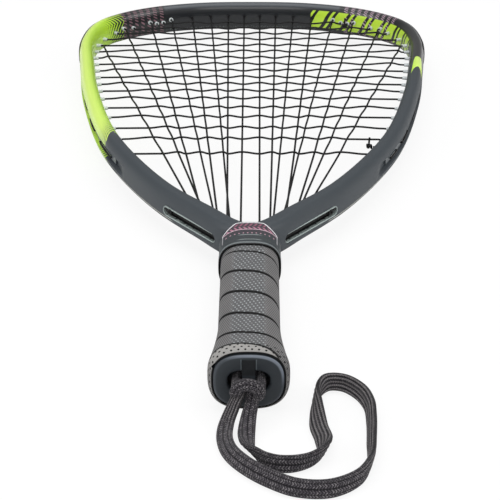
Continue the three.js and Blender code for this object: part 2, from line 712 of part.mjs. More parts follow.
// Right-hand half of the long string, from its knot in the arm slot to the yoke's pocket
function mainRoute() {
  const route = [];
  const arm = [...armHoles].reverse();
  for (let i = 0; i < MAIN_HEAD_SHARES.length; i += 2) {
    const outer = MAIN_HEAD_SHARES.length - 1 - i;
    const pair = [outer, outer - 1].map((k) => mainDistances[k]);
    route.push(armLoop(arm[i]), armMouth(arm[i]));
    route.push(mouthAt(pair[0], STRING_LAYER, hoopHoles[outer].proud));
    stationsBetween(pair[0], pair[1]).forEach((distance) => route.push(loopPoint(distance, STRING_LAYER)));
    route.push(mouthAt(pair[1], STRING_LAYER, hoopHoles[outer - 1].proud));
    if (outer > 1) route.push(armMouth(arm[i + 1]), armLoop(arm[i + 1]));
  }
  const x = YOKE_STRING_PLACE;
  route.push(new THREE.Vector3(x, YOKE_ROOF + TOP_GROMMET_PROUD + STRING_TURN, STRING_LAYER));
  route.push(new THREE.Vector3(x, POCKET_END - LOOP_HEIGHT, STRING_LAYER));
  return route;
}

// Cross string, from the tie-off hole by the head on the right to the one by the throat
function crossRoute() {
  const up = -STRING_LAYER;
  const side = (points, right) => (right ? points : flipped(points));
  const tieOffEnd = (i) => {
    const tieOff = hoopHoles[hoopHoles.length - tieOffDistances.length + i];
    return [mouthAt(tieOff.distance, up, tieOff.proud), loopPoint(tieOff.distance, up)];
  };
  const route = tieOffEnd(0);
  crossDistances.forEach((distance, i) => {
    const right = i % 2 === 0;
    const { proud } = hoopHoles[MAIN_HEAD_SHARES.length + i];
    const ends = [loopPoint(distance, up), mouthAt(distance, up, proud)];
    route.push(...side(ends, right), ...side([...ends].reverse(), !right));
    if (i < crossDistances.length - 1) {
      const between = stationsBetween(distance, crossDistances[i + 1]).slice(1, -1);
      route.push(...side(between.map((place) => loopPoint(place, up)), !right));
    }
  });
  return [...route, ...side(tieOffEnd(1).reverse(), crossDistances.length % 2 === 0)];
}

// Knot on the end of a string, with its cut tail
function knotAt(end, direction, tail) {
  const seat = end.clone().addScaledVector(direction, CLEARANCE);
  const rings = [[0, 0.55], [0.25, 1], [0.75, 1], [1, 0.55]].map(([along, wide]) => {
    const middle = seat.clone().addScaledVector(direction, along * KNOT_LENGTH);
    const across = direction.clone().cross(tail).normalize();
    return Array.from({ length: KNOT_SIDES }, (_, j) => {
      const [a, b] = superellipse((j / KNOT_SIDES) * Math.PI * 2, (wide * KNOT_DIAMETER) / 2, (wide * KNOT_DIAMETER) / 2, 2);
      return middle.clone().addScaledVector(across, a).addScaledVector(tail, b);
    });
  });
  const middle = seat.clone().addScaledVector(direction, KNOT_LENGTH / 2);
  const tailEnd = middle.clone().addScaledVector(tail, TAIL_LENGTH);
  return toGeometry(join(toSolid(loft(rings)), [rod(middle, tailEnd, STRING_RADIUS)]));
}

function makePallet(side) {
  const half = (y, halfSizes) => {
    const ring = handleRing(y, ...halfSizes).slice(0, HANDLE_SIDES / 2);
    const width = ring[0].x;
    return [
      new THREE.Vector3(width, y, CLEARANCE / 2), ...ring, new THREE.Vector3(-width, y, CLEARANCE / 2),
    ];
  };
  const inner = SHAFT_HALF.map((value) => value + CLEARANCE);
  const geometry = loft([SHAFT_START, PALLET_END].map((y) => [...half(y, PALLET_HALF), ...half(y, inner).reverse()]));
  const placed = side > 0 ? geometry : insideOut(geometry.scale(1, 1, -1));
  return toGeometry(cut(toSolid(placed), tackHoles(side)));
}

function tackPoints(side) {
  const [x, y] = TACK_PLACE;
  return [-x, x].map((place) => new THREE.Vector3(place, y, side));
}

function tackRod(point, from, to, radius) {
  const low = point.clone().setZ(point.z * from);
  return rod(low, point.clone().setZ(point.z * to), radius, TACK_SIDES);
}

const TACK_SEAT = gripHalf(TACK_PLACE[1], WRAP_THICKNESS + CAP_SKIRT_GAP)[1] - TACK_SINK - TACK_HEAD_THICKNESS;
const TACK_POINT = SHAFT_HALF[1] + CLEARANCE * 3;

function tackHoles(side) {
  return tackPoints(side).flatMap((point) => [
    tackRod(point, SHAFT_HALF[1], TACK_SEAT + OVERRUN, clearOf(TACK_SHANK_RADIUS, TACK_SIDES)),
    tackRod(point, TACK_SEAT - CLEARANCE, TACK_SEAT + OVERRUN, clearOf(TACK_HEAD_RADIUS, TACK_SIDES)),
  ]);
}

function makeTack(side, across) {
  const point = new THREE.Vector3(across * TACK_PLACE[0], TACK_PLACE[1], side);
  const head = tackRod(point, TACK_SEAT, TACK_SEAT + TACK_HEAD_THICKNESS, TACK_HEAD_RADIUS);
  const shank = tackRod(point, TACK_POINT, TACK_SEAT + TACK_HEAD_THICKNESS / 2, TACK_SHANK_RADIUS);
  return toGeometry(toSolid(head).add(toSolid(shank)));
}

const BAR_MIDDLE = BAR_RECESS + BAR_THICKNESS / 2; // from the butt face

function makeCap() {
  const face = CAP_FACE_HALF.map((half) => half - CAP_EDGE / 2);
  const skirt = CAP_SKIRT_STATIONS.map((y) => [y, ...gripHalf(y, WRAP_THICKNESS + CAP_SKIRT_GAP)]);
  const outside = handleLoft([[0, ...face], [CAP_EDGE, ...CAP_FACE_HALF], ...skirt]);
  const boreHalf = PALLET_HALF.map((half) => half + CLEARANCE);
  const bore = handleLoft([[CAP_WALL, ...boreHalf], [CAP_SKIRT_END + OVERRUN, ...boreHalf]]);
  const hole = loft([-OVERRUN, CAP_WALL + OVERRUN].map((y) => handleRing(y, ...CAP_HOLE_HALF)));
  const channel = block(
    [-BAR_WIDTH / 2 - CLEARANCE, -OVERRUN, -BAR_CHANNEL_HALF_HEIGHT],
    [BAR_WIDTH / 2 + CLEARANCE, BAR_RECESS, BAR_CHANNEL_HALF_HEIGHT],
  );
  const bar = block(
    [-BAR_WIDTH / 2, BAR_RECESS, -CAP_HOLE_HALF[1] - OVERRUN / 2],
    [BAR_WIDTH / 2, BAR_RECESS + BAR_THICKNESS, CAP_HOLE_HALF[1] + OVERRUN / 2],
  );
  const shell = cut(toSolid(outside), [bore, hole, channel, ...tackHoles(-1), ...tackHoles(1)]);
  return toGeometry(join(shell, [bar]));
}

// Grip wrap: one strip wound round the handle, its edges cut square at both ends
function makeWrap() {
  const width = WRAP_PITCH - WRAP_SEAM;
  const turn = Math.PI * 2;
  const rings = [];
  let leastGap = Infinity;
  const firstStep = Math.floor(((WRAP_START - WRAP_SEAM_PLACE) / WRAP_PITCH) * HANDLE_SIDES);
  const lastStep = Math.ceil(((WRAP_END - WRAP_SEAM_PLACE) / WRAP_PITCH) * HANDLE_SIDES) + HANDLE_SIDES;
  for (let step = firstStep; step <= lastStep; step++) {
    const share = (step + 0.5) / HANDLE_SIDES;
    const high = WRAP_SEAM_PLACE + share * WRAP_PITCH - WRAP_SEAM / 2;
    const top = Math.min(high, WRAP_END);
    const bottom = Math.max(high - width, WRAP_START);
    if (top - bottom < WRAP_LEAST_WIDTH) continue;
    const angle = turn / 4 - share * turn;
    const onRim = bottom < FLARE_START && top > FLARE_START;
    const rows = [bottom, onRim ? FLARE_START : (bottom + top) / 2, top];
    const side = (under) => rows.map((y) => {
      const [x, z] = superellipse(angle, ...gripHalf(y, under), HANDLE_POWER);
      return new THREE.Vector3(x, y, z);
    });
    const ring = [...side(0), ...side(WRAP_THICKNESS).reverse()];
    const before = rings[rings.length - HANDLE_SIDES];
    if (before) leastGap = Math.min(leastGap, ring[0].distanceTo(before[rows.length - 1]));
    rings.push(ring);
  }
  console.log(`wrap: ${(rings.length / HANDLE_SIDES).toFixed(2)} turns, least gap ${leastGap.toFixed(2)} mm`);
  return mirrored(loft(rings));
}

function makeCollar() {
  const outside = handleLoft(COLLAR_STATIONS.map(([y, ...half]) => [COLLAR_START + y, ...half]));
  const socketHalf = GRIP_HALF.map((half) => half + CLEARANCE);
  const socketEnd = COLLAR_START + COLLAR_SOCKET_DEPTH;
  const socket = handleLoft([[COLLAR_START - OVERRUN, ...socketHalf], [socketEnd, ...socketHalf]]);
  const shape = new THREE.Shape();
  const wide = COLLAR_STATIONS[0][1] + OVERRUN;
  const profile = [
    [wide, -OVERRUN], [wide, COLLAR_SIDE_LENGTH], COLLAR_SHOULDER, COLLAR_CROWN,
  ];
  shape.setFromPoints([
    ...profile.map(([x, y]) => new THREE.Vector2(x, COLLAR_START + y)),
    ...profile.map(([x, y]) => new THREE.Vector2(-x, COLLAR_START + y)).reverse(),
  ]);
  const arch = new THREE.ExtrudeGeometry(shape, { depth: TUBE_HEIGHT * 2, bevelEnabled: false });
  arch.translate(0, 0, -TUBE_HEIGHT);
  const sleeve = cut(toSolid(outside), [socket]).intersect(toSolid(arch));
  return toGeometry(sleeve.subtract(yokeSolid(COLLAR_CLEARANCE)).subtract(hoopSolid(COLLAR_CLEARANCE)));
}

const STRAP_HEIGHT = (STRAP_WIDTH + CLEARANCE) / 2 - REST_HEIGHT; // of the middle line where the strap lies on its edge

function strapSection(width, thickness) {
  return Array.from({ length: STRAP_SIDES }, (_, j) => {
    const [a, b] = superellipse((j / STRAP_SIDES) * Math.PI * 2, width / 2, thickness / 2, 2);
    return new THREE.Vector2(a, b);
  });
}

function makeStrap() {
  const route = new THREE.CatmullRomCurve3(
    STRAP_ROUTE.map(([x, y, lift]) => new THREE.Vector3(x, y, STRAP_HEIGHT + lift)), false, 'centripetal',
  );
  console.log(`strap: ${route.getLength().toFixed(1)} mm`);
  const section = strapSection(STRAP_WIDTH, STRAP_THICKNESS);
  const rings = [];
  for (let i = 0; i <= STRAP_STEPS; i++) {
    const point = route.getPointAt(i / STRAP_STEPS);
    const tangent = route.getTangentAt(i / STRAP_STEPS);
    const fromEnd = Math.min(i, STRAP_STEPS - i) * route.getLength() / STRAP_STEPS;
    const twist = Math.min(1, fromEnd / STRAP_TWIST_LENGTH) * Math.PI / 2;
    const edge = new THREE.Vector3(Math.cos(twist), 0, Math.sin(twist));
    edge.addScaledVector(tangent, -edge.dot(tangent)).normalize();
    const face = tangent.clone().cross(edge);
    rings.push(section.map((corner) => (
      point.clone().addScaledVector(edge, corner.x).addScaledVector(face, corner.y)
    )));
  }
  return loft(rings);
}

// The strap's bight round the bar: low at its sides, where it passes through the cap, and high in front
function makeHitch() {
  const rings = [];
  for (let i = 0; i < HITCH_STEPS; i++) {
    const angle = (i / HITCH_STEPS) * Math.PI * 2;
    const outward = new THREE.Vector3(Math.sin(angle), -Math.cos(angle), 0);
    const middle = outward.clone().multiplyScalar(HITCH_RADIUS);
    middle.y += BAR_MIDDLE;
    middle.z = HITCH_RISE * Math.max(0, Math.cos(angle)) ** 2 - HITCH_DROP;
    rings.push(strapSection(HITCH_WIDTH, STRAP_THICKNESS).map((point) => {
      const corner = middle.clone().addScaledVector(outward, point.y);
      return corner.setZ(corner.z + point.x);
    }));
  }
  return loft(rings, true);
}

// Assembly

const racket = new THREE.Group();
racket.position.set(0, -RACKET_LENGTH / 2, REST_HEIGHT);

function addPiece(name, geometry, finish) {
  const [color, roughness, metalness] = FINISHES[finish];
  const shown = geometry.index ? geometry.toNonIndexed() : geometry;
  shown.deleteAttribute('uv');
  shown.computeVertexNormals();
  const mesh = new THREE.Mesh(shown, new THREE.MeshStandardMaterial({ color, roughness, metalness }));
  mesh.name = name;
  racket.add(mesh);
}

const rightMains = mainRoute();
const crosses = crossRoute();
const crossEnds = [crosses[0], crosses[crosses.length - 1]];
const rightGrommets = makeRightGrommets();
const rightInsert = makeRightInsert();
const rightMainKnot = knotAt(rightMains[0], slotTube.outward, slotTube.tangent);

addPiece('frame', makeFrame(), 'satin_paint');
addPiece('head_guard', makeGuard(), 'black_plastic');
addPiece('top_grommets', makeTopGrommets(), 'black_plastic');
addPiece('right_grommets', rightGrommets, 'clear_plastic');
addPiece('left_grommets', mirrored(rightGrommets), 'clear_plastic');
addPiece('right_slot_insert', rightInsert, 'grey_plastic');
addPiece('left_slot_insert', mirrored(rightInsert), 'grey_plastic');
addPiece('yoke_grommets', makeYokeGrommets(), 'black_plastic');
addPiece('main_string', stringAlong([...rightMains, ...flipped(rightMains).reverse()]), 'string');
addPiece('cross_string', stringAlong(crosses), 'string');
addPiece('right_main_knot', rightMainKnot, 'string');
addPiece('left_main_knot', mirrored(rightMainKnot), 'string');
['cross_head_knot', 'cross_throat_knot'].forEach((name, i) => {
  addPiece(name, knotAt(crossEnds[i], tubeAt(tieOffDistances[i]).outward.negate(), UPWARD), 'string');
});
addPiece('upper_pallet', makePallet(1), 'foam');
addPiece('lower_pallet', makePallet(-1), 'foam');
addPiece('butt_cap', makeCap(), 'soft_black');
addPiece('upper_left_tack', makeTack(1, -1), 'steel');
addPiece('upper_right_tack', makeTack(1, 1), 'steel');
addPiece('lower_left_tack', makeTack(-1, -1), 'steel');
addPiece('lower_right_tack', makeTack(-1, 1), 'steel');
addPiece('grip_wrap', makeWrap(), 'wrap');
addPiece('collar', makeCollar(), 'collar_rubber');
addPiece('lanyard_hitch', makeHitch(), 'braid');
addPiece('lanyard_strap', makeStrap(), 'braid');

export default racket;
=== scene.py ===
# %% [markdown]
# # A racquetball racket on a table
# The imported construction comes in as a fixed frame. Around it, each piece is modelled again with the fine
# shape and the finish of the real one. All lengths are in millimetres until a point is placed in the scene.

# %% Load the frame
import contextlib
import math

import bmesh
import bpy
import numpy as np
from mathutils import Matrix


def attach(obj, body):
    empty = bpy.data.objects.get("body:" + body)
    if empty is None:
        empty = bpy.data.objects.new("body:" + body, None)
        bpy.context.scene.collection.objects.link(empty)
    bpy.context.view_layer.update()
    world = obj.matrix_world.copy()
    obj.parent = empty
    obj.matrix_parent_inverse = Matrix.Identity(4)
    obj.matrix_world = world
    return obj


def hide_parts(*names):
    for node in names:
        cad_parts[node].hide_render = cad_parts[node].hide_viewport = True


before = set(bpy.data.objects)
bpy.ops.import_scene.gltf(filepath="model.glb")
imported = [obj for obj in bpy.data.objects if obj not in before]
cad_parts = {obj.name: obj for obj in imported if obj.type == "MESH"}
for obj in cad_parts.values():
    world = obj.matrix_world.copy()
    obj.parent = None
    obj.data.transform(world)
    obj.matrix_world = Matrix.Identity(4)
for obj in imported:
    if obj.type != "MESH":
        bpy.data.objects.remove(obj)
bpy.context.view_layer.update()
print("nodes in the frame:", len(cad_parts))

# %% [markdown]
# ## Where things are
# The racket's own zero is the middle of its butt face. It lies on the flared end of its grip, so that zero
# is above the table, and half a racket's length in front of the scene's origin.

# %% Overall sizes
MM = 0.001
RACKET_LENGTH = 558.8
REST_HEIGHT = 17.737
RACKET_ZERO = np.array([0, -RACKET_LENGTH / 2, REST_HEIGHT])
CLEARANCE = 0.3
UPWARD = np.array([0.0, 0.0, 1.0])


def in_scene(points):
    """Points in the racket's own millimetres, as metres in the scene."""
    return (np.asarray(points, float) + RACKET_ZERO) * MM


def unit(directions):
    return directions / np.linalg.norm(directions, axis=-1, keepdims=True)


def smoothstep(value, low, high):
    share = np.clip((value - low) / (high - low), 0, 1)
    return share * share * (3 - 2 * share)


def superellipse(angle, half_width, half_height, power):
    across, up = np.cos(angle), np.sin(angle)
    return (
        np.sign(across) * np.abs(across) ** (2 / power) * half_width,
        np.sign(up) * np.abs(up) ** (2 / power) * half_height,
    )


print("butt face at", in_scene([0, 0, 0]).round(4))

# %% [markdown]
# ## Camera
# The picture is taken from behind the butt, looking down along the racket with a fairly long lens, so the
# head is foreshortened. The camera comes first, because a loose lanyard is measured against what it sees.

# %% Camera
CAMERA_PLACE = (0.0034, -0.9688, 0.4339)
CAMERA_DOWN = 26.58
CAMERA_TURN = 0.23
CAMERA_LENS = 119.6

camera_data = bpy.data.cameras.new("camera")
camera_data.lens = CAMERA_LENS
camera_data.sensor_width = 36
camera = bpy.data.objects.new("camera", camera_data)
camera.location = CAMERA_PLACE
camera.rotation_euler = (math.radians(90 - CAMERA_DOWN), 0, math.radians(CAMERA_TURN))
bpy.context.scene.collection.objects.link(camera)
bpy.context.scene.camera = camera
print("camera looks down by", CAMERA_DOWN, "degrees")

# %% [markdown]
# ## Curves measured by their length
# The hoop, the lanyard and the strings all follow curves. A centripetal Catmull-Rom curve passes smoothly
# through given points, and a table of its running length gives a point at any distance along it.

# %% Curve through points
HEADING_STEP = 0.5
CURVE_STEPS = 60


def catmull_rom(points, closed=False):
    points = np.asarray(points, float)
    if closed:
        before, after = points[-1:], points[:2]
    else:
        before, after = 2 * points[:1] - points[1:2], 2 * points[-1:] - points[-2:-1]
    ringed = np.vstack([before, points, after])
    share = np.linspace(0, 1, CURVE_STEPS, endpoint=False)[:, None]
    dense = []
    for i in range(len(points) if closed else len(points) - 1):
        p0, p1, p2, p3 = ringed[i:i + 4]
        d0, d1, d2 = (np.sqrt(np.linalg.norm(b - a)) for a, b in ((p0, p1), (p1, p2), (p2, p3)))
        leave = ((p1 - p0) / d0 - (p2 - p0) / (d0 + d1) + (p2 - p1) / d1) * d1
        arrive = ((p2 - p1) / d1 - (p3 - p1) / (d1 + d2) + (p3 - p2) / d2) * d1
        square = -3 * p1 + 3 * p2 - 2 * leave - arrive
        cube = 2 * p1 - 2 * p2 + leave + arrive
        dense.append(p1 + leave * share + square * share**2 + cube * share**3)
    dense.append(points[:1] if closed else points[-1:])
    return np.vstack(dense)


class Path:
    """A dense line of points that is read by the distance along it."""

    def __init__(self, points):
        self.points = points
        steps = np.linalg.norm(np.diff(points, axis=0), axis=1)
        self.far = np.concatenate([[0], np.cumsum(steps)])
        self.length = self.far[-1]
        self.closed = np.allclose(points[0], points[-1])

    def at(self, distance):
        distance = np.asarray(distance, float)
        if self.closed:
            distance = distance % self.length
        return np.stack([np.interp(distance, self.far, column) for column in self.points.T], -1)

    def heading(self, distance):
        distance = np.asarray(distance, float)
        return unit(self.at(distance + HEADING_STEP) - self.at(distance - HEADING_STEP))


# %% [markdown]
# ## A sheet that is laid over a shape
# Most pieces here are skins: a tube, a strip, a sleeve. Each starts as a flat grid, which brings its own UV
# map. The grid is laid over the real shape by a rule that turns its two shares into a point, its seam is
# merged and its open ends are filled. The UV map then measures the piece along and around, as the finishes
# need.

# %% Modelling helpers
MERGE_REACH = 5e-6


def alone(piece):
    bpy.ops.object.select_all(action="DESELECT")
    piece.select_set(True)
    bpy.context.view_layer.objects.active = piece


@contextlib.contextmanager
def editing(piece, parts="FACE"):
    """Edit mode with nothing selected, and the mesh to select in."""
    alone(piece)
    bpy.ops.object.mode_set(mode="EDIT")
    bpy.ops.mesh.select_mode(type=parts)
    bpy.ops.mesh.select_all(action="DESELECT")
    yield bmesh.from_edit_mesh(piece.data)
    bpy.ops.object.mode_set(mode="OBJECT")


def pick(parts, test):
    for part in parts:
        part.select_set(bool(test(part)))


def points_of(piece):
    flat = np.zeros(len(piece.data.vertices) * 3)
    piece.data.vertices.foreach_get("co", flat)
    return flat.reshape(-1, 3)


def move_points(piece, points):
    piece.data.vertices.foreach_set("co", np.asarray(points, float).ravel())
    piece.data.update()


def smooth(piece, degrees=35):
    alone(piece)
    bpy.ops.object.shade_smooth_by_angle(angle=math.radians(degrees))


def heal(piece, fill=True):
    """Merges what meets, closes open ends and turns all faces outwards."""
    with editing(piece, "VERT"):
        bpy.ops.mesh.select_all(action="SELECT")
        bpy.ops.mesh.remove_doubles(threshold=MERGE_REACH)
        if fill:
            bpy.ops.mesh.fill_holes(sides=0)
        bpy.ops.mesh.normals_make_consistent(inside=False)


def added(operator, name, **settings):
    """A new primitive with its name, and with its place, turn and size put into its mesh."""
    operator(**settings)
    piece = bpy.context.object
    piece.name = piece.data.name = name
    bpy.ops.object.transform_apply()
    return piece


def sheet_over(name, along, around, place, fill=True, degrees=35):
    """A grid laid over place(u, v), which gives points in the racket's millimetres."""
    grid = bpy.ops.mesh.primitive_grid_add
    piece = added(grid, name, x_subdivisions=along, y_subdivisions=around, size=1)
    shares = points_of(piece)[:, :2] + 0.5
    move_points(piece, in_scene(place(shares[:, 0], shares[:, 1])))
    heal(piece, fill)
    smooth(piece, degrees)
    return piece


def apply_modifier(piece, kind, **settings):
    alone(piece)
    bpy.ops.object.modifier_add(type=kind)
    modifier = piece.modifiers[-1]
    for key, value in settings.items():
        setattr(modifier, key, value)
    bpy.ops.object.modifier_apply(modifier=modifier.name)


def combine(piece, other, operation):
    """Joins other to a piece or cuts it out; other is used up."""
    apply_modifier(piece, "BOOLEAN", object=other, operation=operation, solver="EXACT")
    bpy.data.objects.remove(other)


def merge(name, pieces):
    alone(pieces[0])
    for piece in pieces:
        piece.select_set(True)
    bpy.ops.object.join()
    pieces[0].name = pieces[0].data.name = name
    return pieces[0]


def axes_at(x, y, z, spot):
    """The matrix that takes a shape made at zero, in millimetres, to a spot with its axes turned."""
    place = np.eye(4)
    place[:3] = np.column_stack([x, y, z, np.asarray(spot) + RACKET_ZERO])
    return Matrix.Scale(MM, 4) @ Matrix(place.tolist())


def set_uv(piece, u, v):
    """Puts the whole UV map on one spot, where a finish's pattern leaves the piece alone."""
    layer = piece.data.uv_layers[0].data
    layer.foreach_set("uv", np.tile([u, v], len(layer)).astype(np.float32))


def mirrored(piece, name):
    other = piece.copy()
    other.data = piece.data.copy()
    other.name = other.data.name = name
    bpy.context.scene.collection.objects.link(other)
    other.data.transform(Matrix.Diagonal((-1, 1, 1, 1)))
    other.data.flip_normals()
    return other


# %% [markdown]
# ## Finishes as Python
# A finish is a small network of nodes. One class wraps an output socket, so that masks are written as sums
# and products, and one class holds the material and makes any other node from its type, settings and
# inputs.

# %% Node helpers


def link_or_set(socket, value):
    if isinstance(value, Wire):
        socket.id_data.links.new(value.socket, socket)
    else:
        socket.default_value = value


def new_node(nodes, kind, settings, inputs, output=0):
    node = nodes.new("ShaderNode" + kind)
    for key, value in settings.items():
        setattr(node, key, value)
    for key, value in inputs.items():
        link_or_set(node.inputs[key], value)
    return Wire(node.outputs[output])


def maths(operation, swapped=False):
    """A method that sends a wire and any other values through one maths node."""

    def method(self, *others):
        values = enumerate((*others, self) if swapped else (self, *others))
        return new_node(self.socket.id_data.nodes, "Math", {"operation": operation}, dict(values))

    return method


class Wire:
    """An output socket that can be used in sums."""

    __add__ = __radd__ = maths("ADD")
    __sub__ = maths("SUBTRACT")
    __rsub__ = maths("SUBTRACT", swapped=True)
    __mul__ = __rmul__ = maths("MULTIPLY")
    __truediv__ = maths("DIVIDE")
    __gt__ = maths("GREATER_THAN")
    __lt__ = maths("LESS_THAN")
    size = maths("ABSOLUTE")
    wave = maths("SINE")
    part = maths("FRACT")
    whole = maths("FLOOR")
    least = maths("MINIMUM")
    most = maths("MAXIMUM")
    power = maths("POWER")
    turn = maths("ARCTAN2")

    def __init__(self, socket):
        self.socket = socket

    def rise(self, low, high):
        """From 0 at low to 1 at high, eased at both ends; high may be the lower one."""
        ease = {"interpolation_type": "SMOOTHSTEP"}
        return new_node(self.socket.id_data.nodes, "MapRange", ease, {0: self, 1: low, 2: high})

    def within(self, low, high, soft):
        return self.rise(low - soft, low + soft) * self.rise(high + soft, high - soft)


def round_spot(x, y, x_weight, y_weight, edge, core):
    """A soft spot about x = y = 0: 1 inside its core and 0 from its edge on."""
    return (x * x * x_weight + y * y * y_weight).power(0.5).rise(edge, core)


def srgb(red, green, blue):
    """A colour as a paint chart gives it, from 0 to 255, for a node."""
    linear = [c / 3294.6 if c <= 10.31 else ((c / 255 + 0.055) / 1.055) ** 2.4 for c in (red, green, blue)]
    return (*linear, 1)


class Finish:
    def __init__(self, name):
        self.material = bpy.data.materials.new(name)
        self.material.use_nodes = True
        self.nodes = self.material.node_tree.nodes
        self.shader = self.nodes["Principled BSDF"]

    def node(self, kind, settings=None, inputs=None, output=0):
        return new_node(self.nodes, kind, settings or {}, inputs or {}, output)

    def place(self, kind="Object"):
        """The point's three coordinates: Object in metres, or UV in shares."""
        split = self.node("SeparateXYZ", inputs={0: self.node("TexCoord", output=kind)})
        return [Wire(socket) for socket in split.socket.node.outputs]

    def own_place(self):
        """The point in the racket's own millimetres."""
        return [where / MM - float(zero) for where, zero in zip(self.place(), RACKET_ZERO)]

    def texture(self, kind, **inputs):
        return self.node(kind, inputs={"Vector": self.node("TexCoord", output="Object"), **inputs})

    def noise(self, scale, detail=2, rough=0.5):
        return self.texture("TexNoise", Scale=scale, Detail=detail, Roughness=rough)

    def blend(self, share, low, high):
        """Mixes two colours. A colour is another blend, or three numbers of a paint chart."""
        low, high = (srgb(*colour) if isinstance(colour, tuple) else colour for colour in (low, high))
        return self.node("Mix", {"data_type": "RGBA"}, {0: share, 6: low, 7: high}, output=2)

    def layered(self, colour, *layers):
        """Lays colours over each other, each as strongly as its mask says."""
        for mask, layer in layers:
            colour = self.blend(mask, colour, layer)
        return colour

    def bump(self, height, distance, strength=1.0):
        return self.node("Bump", inputs={"Height": height, "Distance": distance, "Strength": strength})

    def finish(self, **sockets):
        for key, value in sockets.items():
            link_or_set(self.shader.inputs[key.replace("_", " ")], value)
        return self.material


def grained(name, scale, low, high, roughness, relief, **sockets):
    """A plain finish: one fine grain that mixes two tones and roughens the surface."""
    plain = Finish(name)
    grain = plain.noise(scale)
    return plain.finish(
        Base_Color=plain.blend(grain, low, high), Roughness=grain * 0.2 + roughness,
        Normal=plain.bump(grain, relief, 0.4), **sockets,
    )


def cover(piece, material):
    piece.data.materials.clear()
    piece.data.materials.append(material)


def dress(piece, material, node, body="racket"):
    """Gives a piece its finish and its body, and hides the imported node that it stands for."""
    cover(piece, material)
    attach(piece, body)
    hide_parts(node)
    print(piece.name, len(piece.data.polygons), "faces")


# %% [markdown]
# ## Lanyard
# The lanyard is a round braid of dark yarn, pressed flat. It leaves the butt gathered and flat, turns on
# its edge, makes one loose loop on the table and comes back to the same hitch. Slack webbing doesn't stand
# upright all the way: it leans outwards or inwards from place to place, so the route also holds a lean in
# degrees. At 90 degrees the strap lies flat.

# %% Lanyard route
STRAP_WIDTH = 9
STRAP_THICKNESS = 3.2
STRAP_GATHER = (0.72, 1.3)
STRAP_GATHER_LENGTH = 30
STRAP_STEPS = 440
STRAP_HEIGHT = (STRAP_WIDTH + CLEARANCE) / 2 - REST_HEIGHT
# x, y, the height over where the strap lies on the table, and the lean of its upper edge out of the loop
STRAP_ROUTE = [
    [-3.7, -4.8, 14.6, -90], [-5.2, -8, 12.2, -90], [-8, -12, 7.4, -86], [-10.8, -19, 2, -74],
    [-11, -30.6, 0, -52], [-8, -42.2, 0, -38], [-0.8, -53, 0, -30], [9.6, -62.8, 0, -28],
    [22, -70.2, 0, -24], [37, -70.8, 0, -22], [50, -62, 0, -8], [56.4, -47.6, 0, 12], [58, -30.6, 0, 22],
    [59, -12.5, 0, 24], [58.6, 1, 0, 26], [54.8, 12.4, 0, 32], [47, 20.8, 0, 34], [39, 21, 0, 26],
    [34, 12.5, 0, 0], [33, -1.3, 0, -36], [33.6, -16.2, 0, -74], [35.6, -28, 0, -70], [34.8, -40, 0, -20],
    [28, -48, 0, -4], [18.5, -51.4, 0, 10], [9.8, -49.6, 0, 10], [3.6, -42.6, 0, -18], [0, -36, 0, -50],
    [-1, -26.6, 0.4, -68], [-0.2, -16.6, 4.4, -84], [1.2, -10.4, 9, -90], [2, -7, 12.2, -90],
    [2.2, -4.8, 14.6, -90],
]
strap_lean = np.radians([lean for *_, lean in STRAP_ROUTE])


def strap_rest(lean):
    """How much lower the middle of the strap lies where it leans."""
    half_height = STRAP_WIDTH / 2 * np.cos(lean) + STRAP_THICKNESS / 2 * np.abs(np.sin(lean))
    return half_height - STRAP_WIDTH / 2


strap_path = Path(catmull_rom([
    [x, y, STRAP_HEIGHT + lift + strap_rest(math.radians(lean))] for x, y, lift, lean in STRAP_ROUTE
]))
strap_stops = strap_path.far[::CURVE_STEPS]
print("lanyard strap:", round(strap_path.length, 1), "mm")

# %% [markdown]
# The strap's section is a flat oval with five lengthwise ribs on each face. Sixty points go round it and
# 440 sections follow each other along the route.

# %% Lanyard strap
STRAP_RIBS = 5
STRAP_RIB_DEPTH = 0.36
STRAP_RIB_RUN = 3
STRAP_POWER = 2.5


def braid_section(turn, width, thickness):
    across, up = superellipse(turn * 2 * math.pi, width / 2, thickness / 2, STRAP_POWER)
    rib = STRAP_RIB_DEPTH * 0.5 * (1 + np.cos(STRAP_RIBS * 2 * math.pi * across / width))
    from_side = np.minimum(1, np.abs(up) / thickness * STRAP_RIB_RUN)
    return across, up - np.sign(up) * (STRAP_RIB_DEPTH - rib) * from_side


def on_strap(u, v):
    distance = u * strap_path.length
    heading = strap_path.heading(np.clip(distance, HEADING_STEP, strap_path.length - HEADING_STEP))
    upright = unit(UPWARD - heading * heading[:, 2:])
    sideways = np.cross(heading, upright)
    lean = np.interp(distance, strap_stops, strap_lean)[:, None]
    edge = upright * np.cos(lean) + sideways * np.sin(lean)
    face = sideways * np.cos(lean) - upright * np.sin(lean)
    from_end = np.minimum(distance, strap_path.length - distance)
    open_out = smoothstep(from_end, 0, STRAP_GATHER_LENGTH)
    width = STRAP_WIDTH * (STRAP_GATHER[0] + (1 - STRAP_GATHER[0]) * open_out)
    thickness = STRAP_THICKNESS * (STRAP_GATHER[1] + (1 - STRAP_GATHER[1]) * open_out)
    across, up = braid_section(v, width, thickness)
    return strap_path.at(distance) + edge * across[:, None] + face * up[:, None]


lanyard_strap = sheet_over("lanyard_strap_braid", STRAP_STEPS, 60, on_strap, degrees=60)

# %% [markdown]
# The bight of the lanyard goes round the bar of the butt cap. It comes out of the hole at both sides of the
# bar, sags in front of the face and arches over the two runs of the strap, which hang from it. Its flat
# side looks away from one core point, and inside the hole it is squeezed narrower.

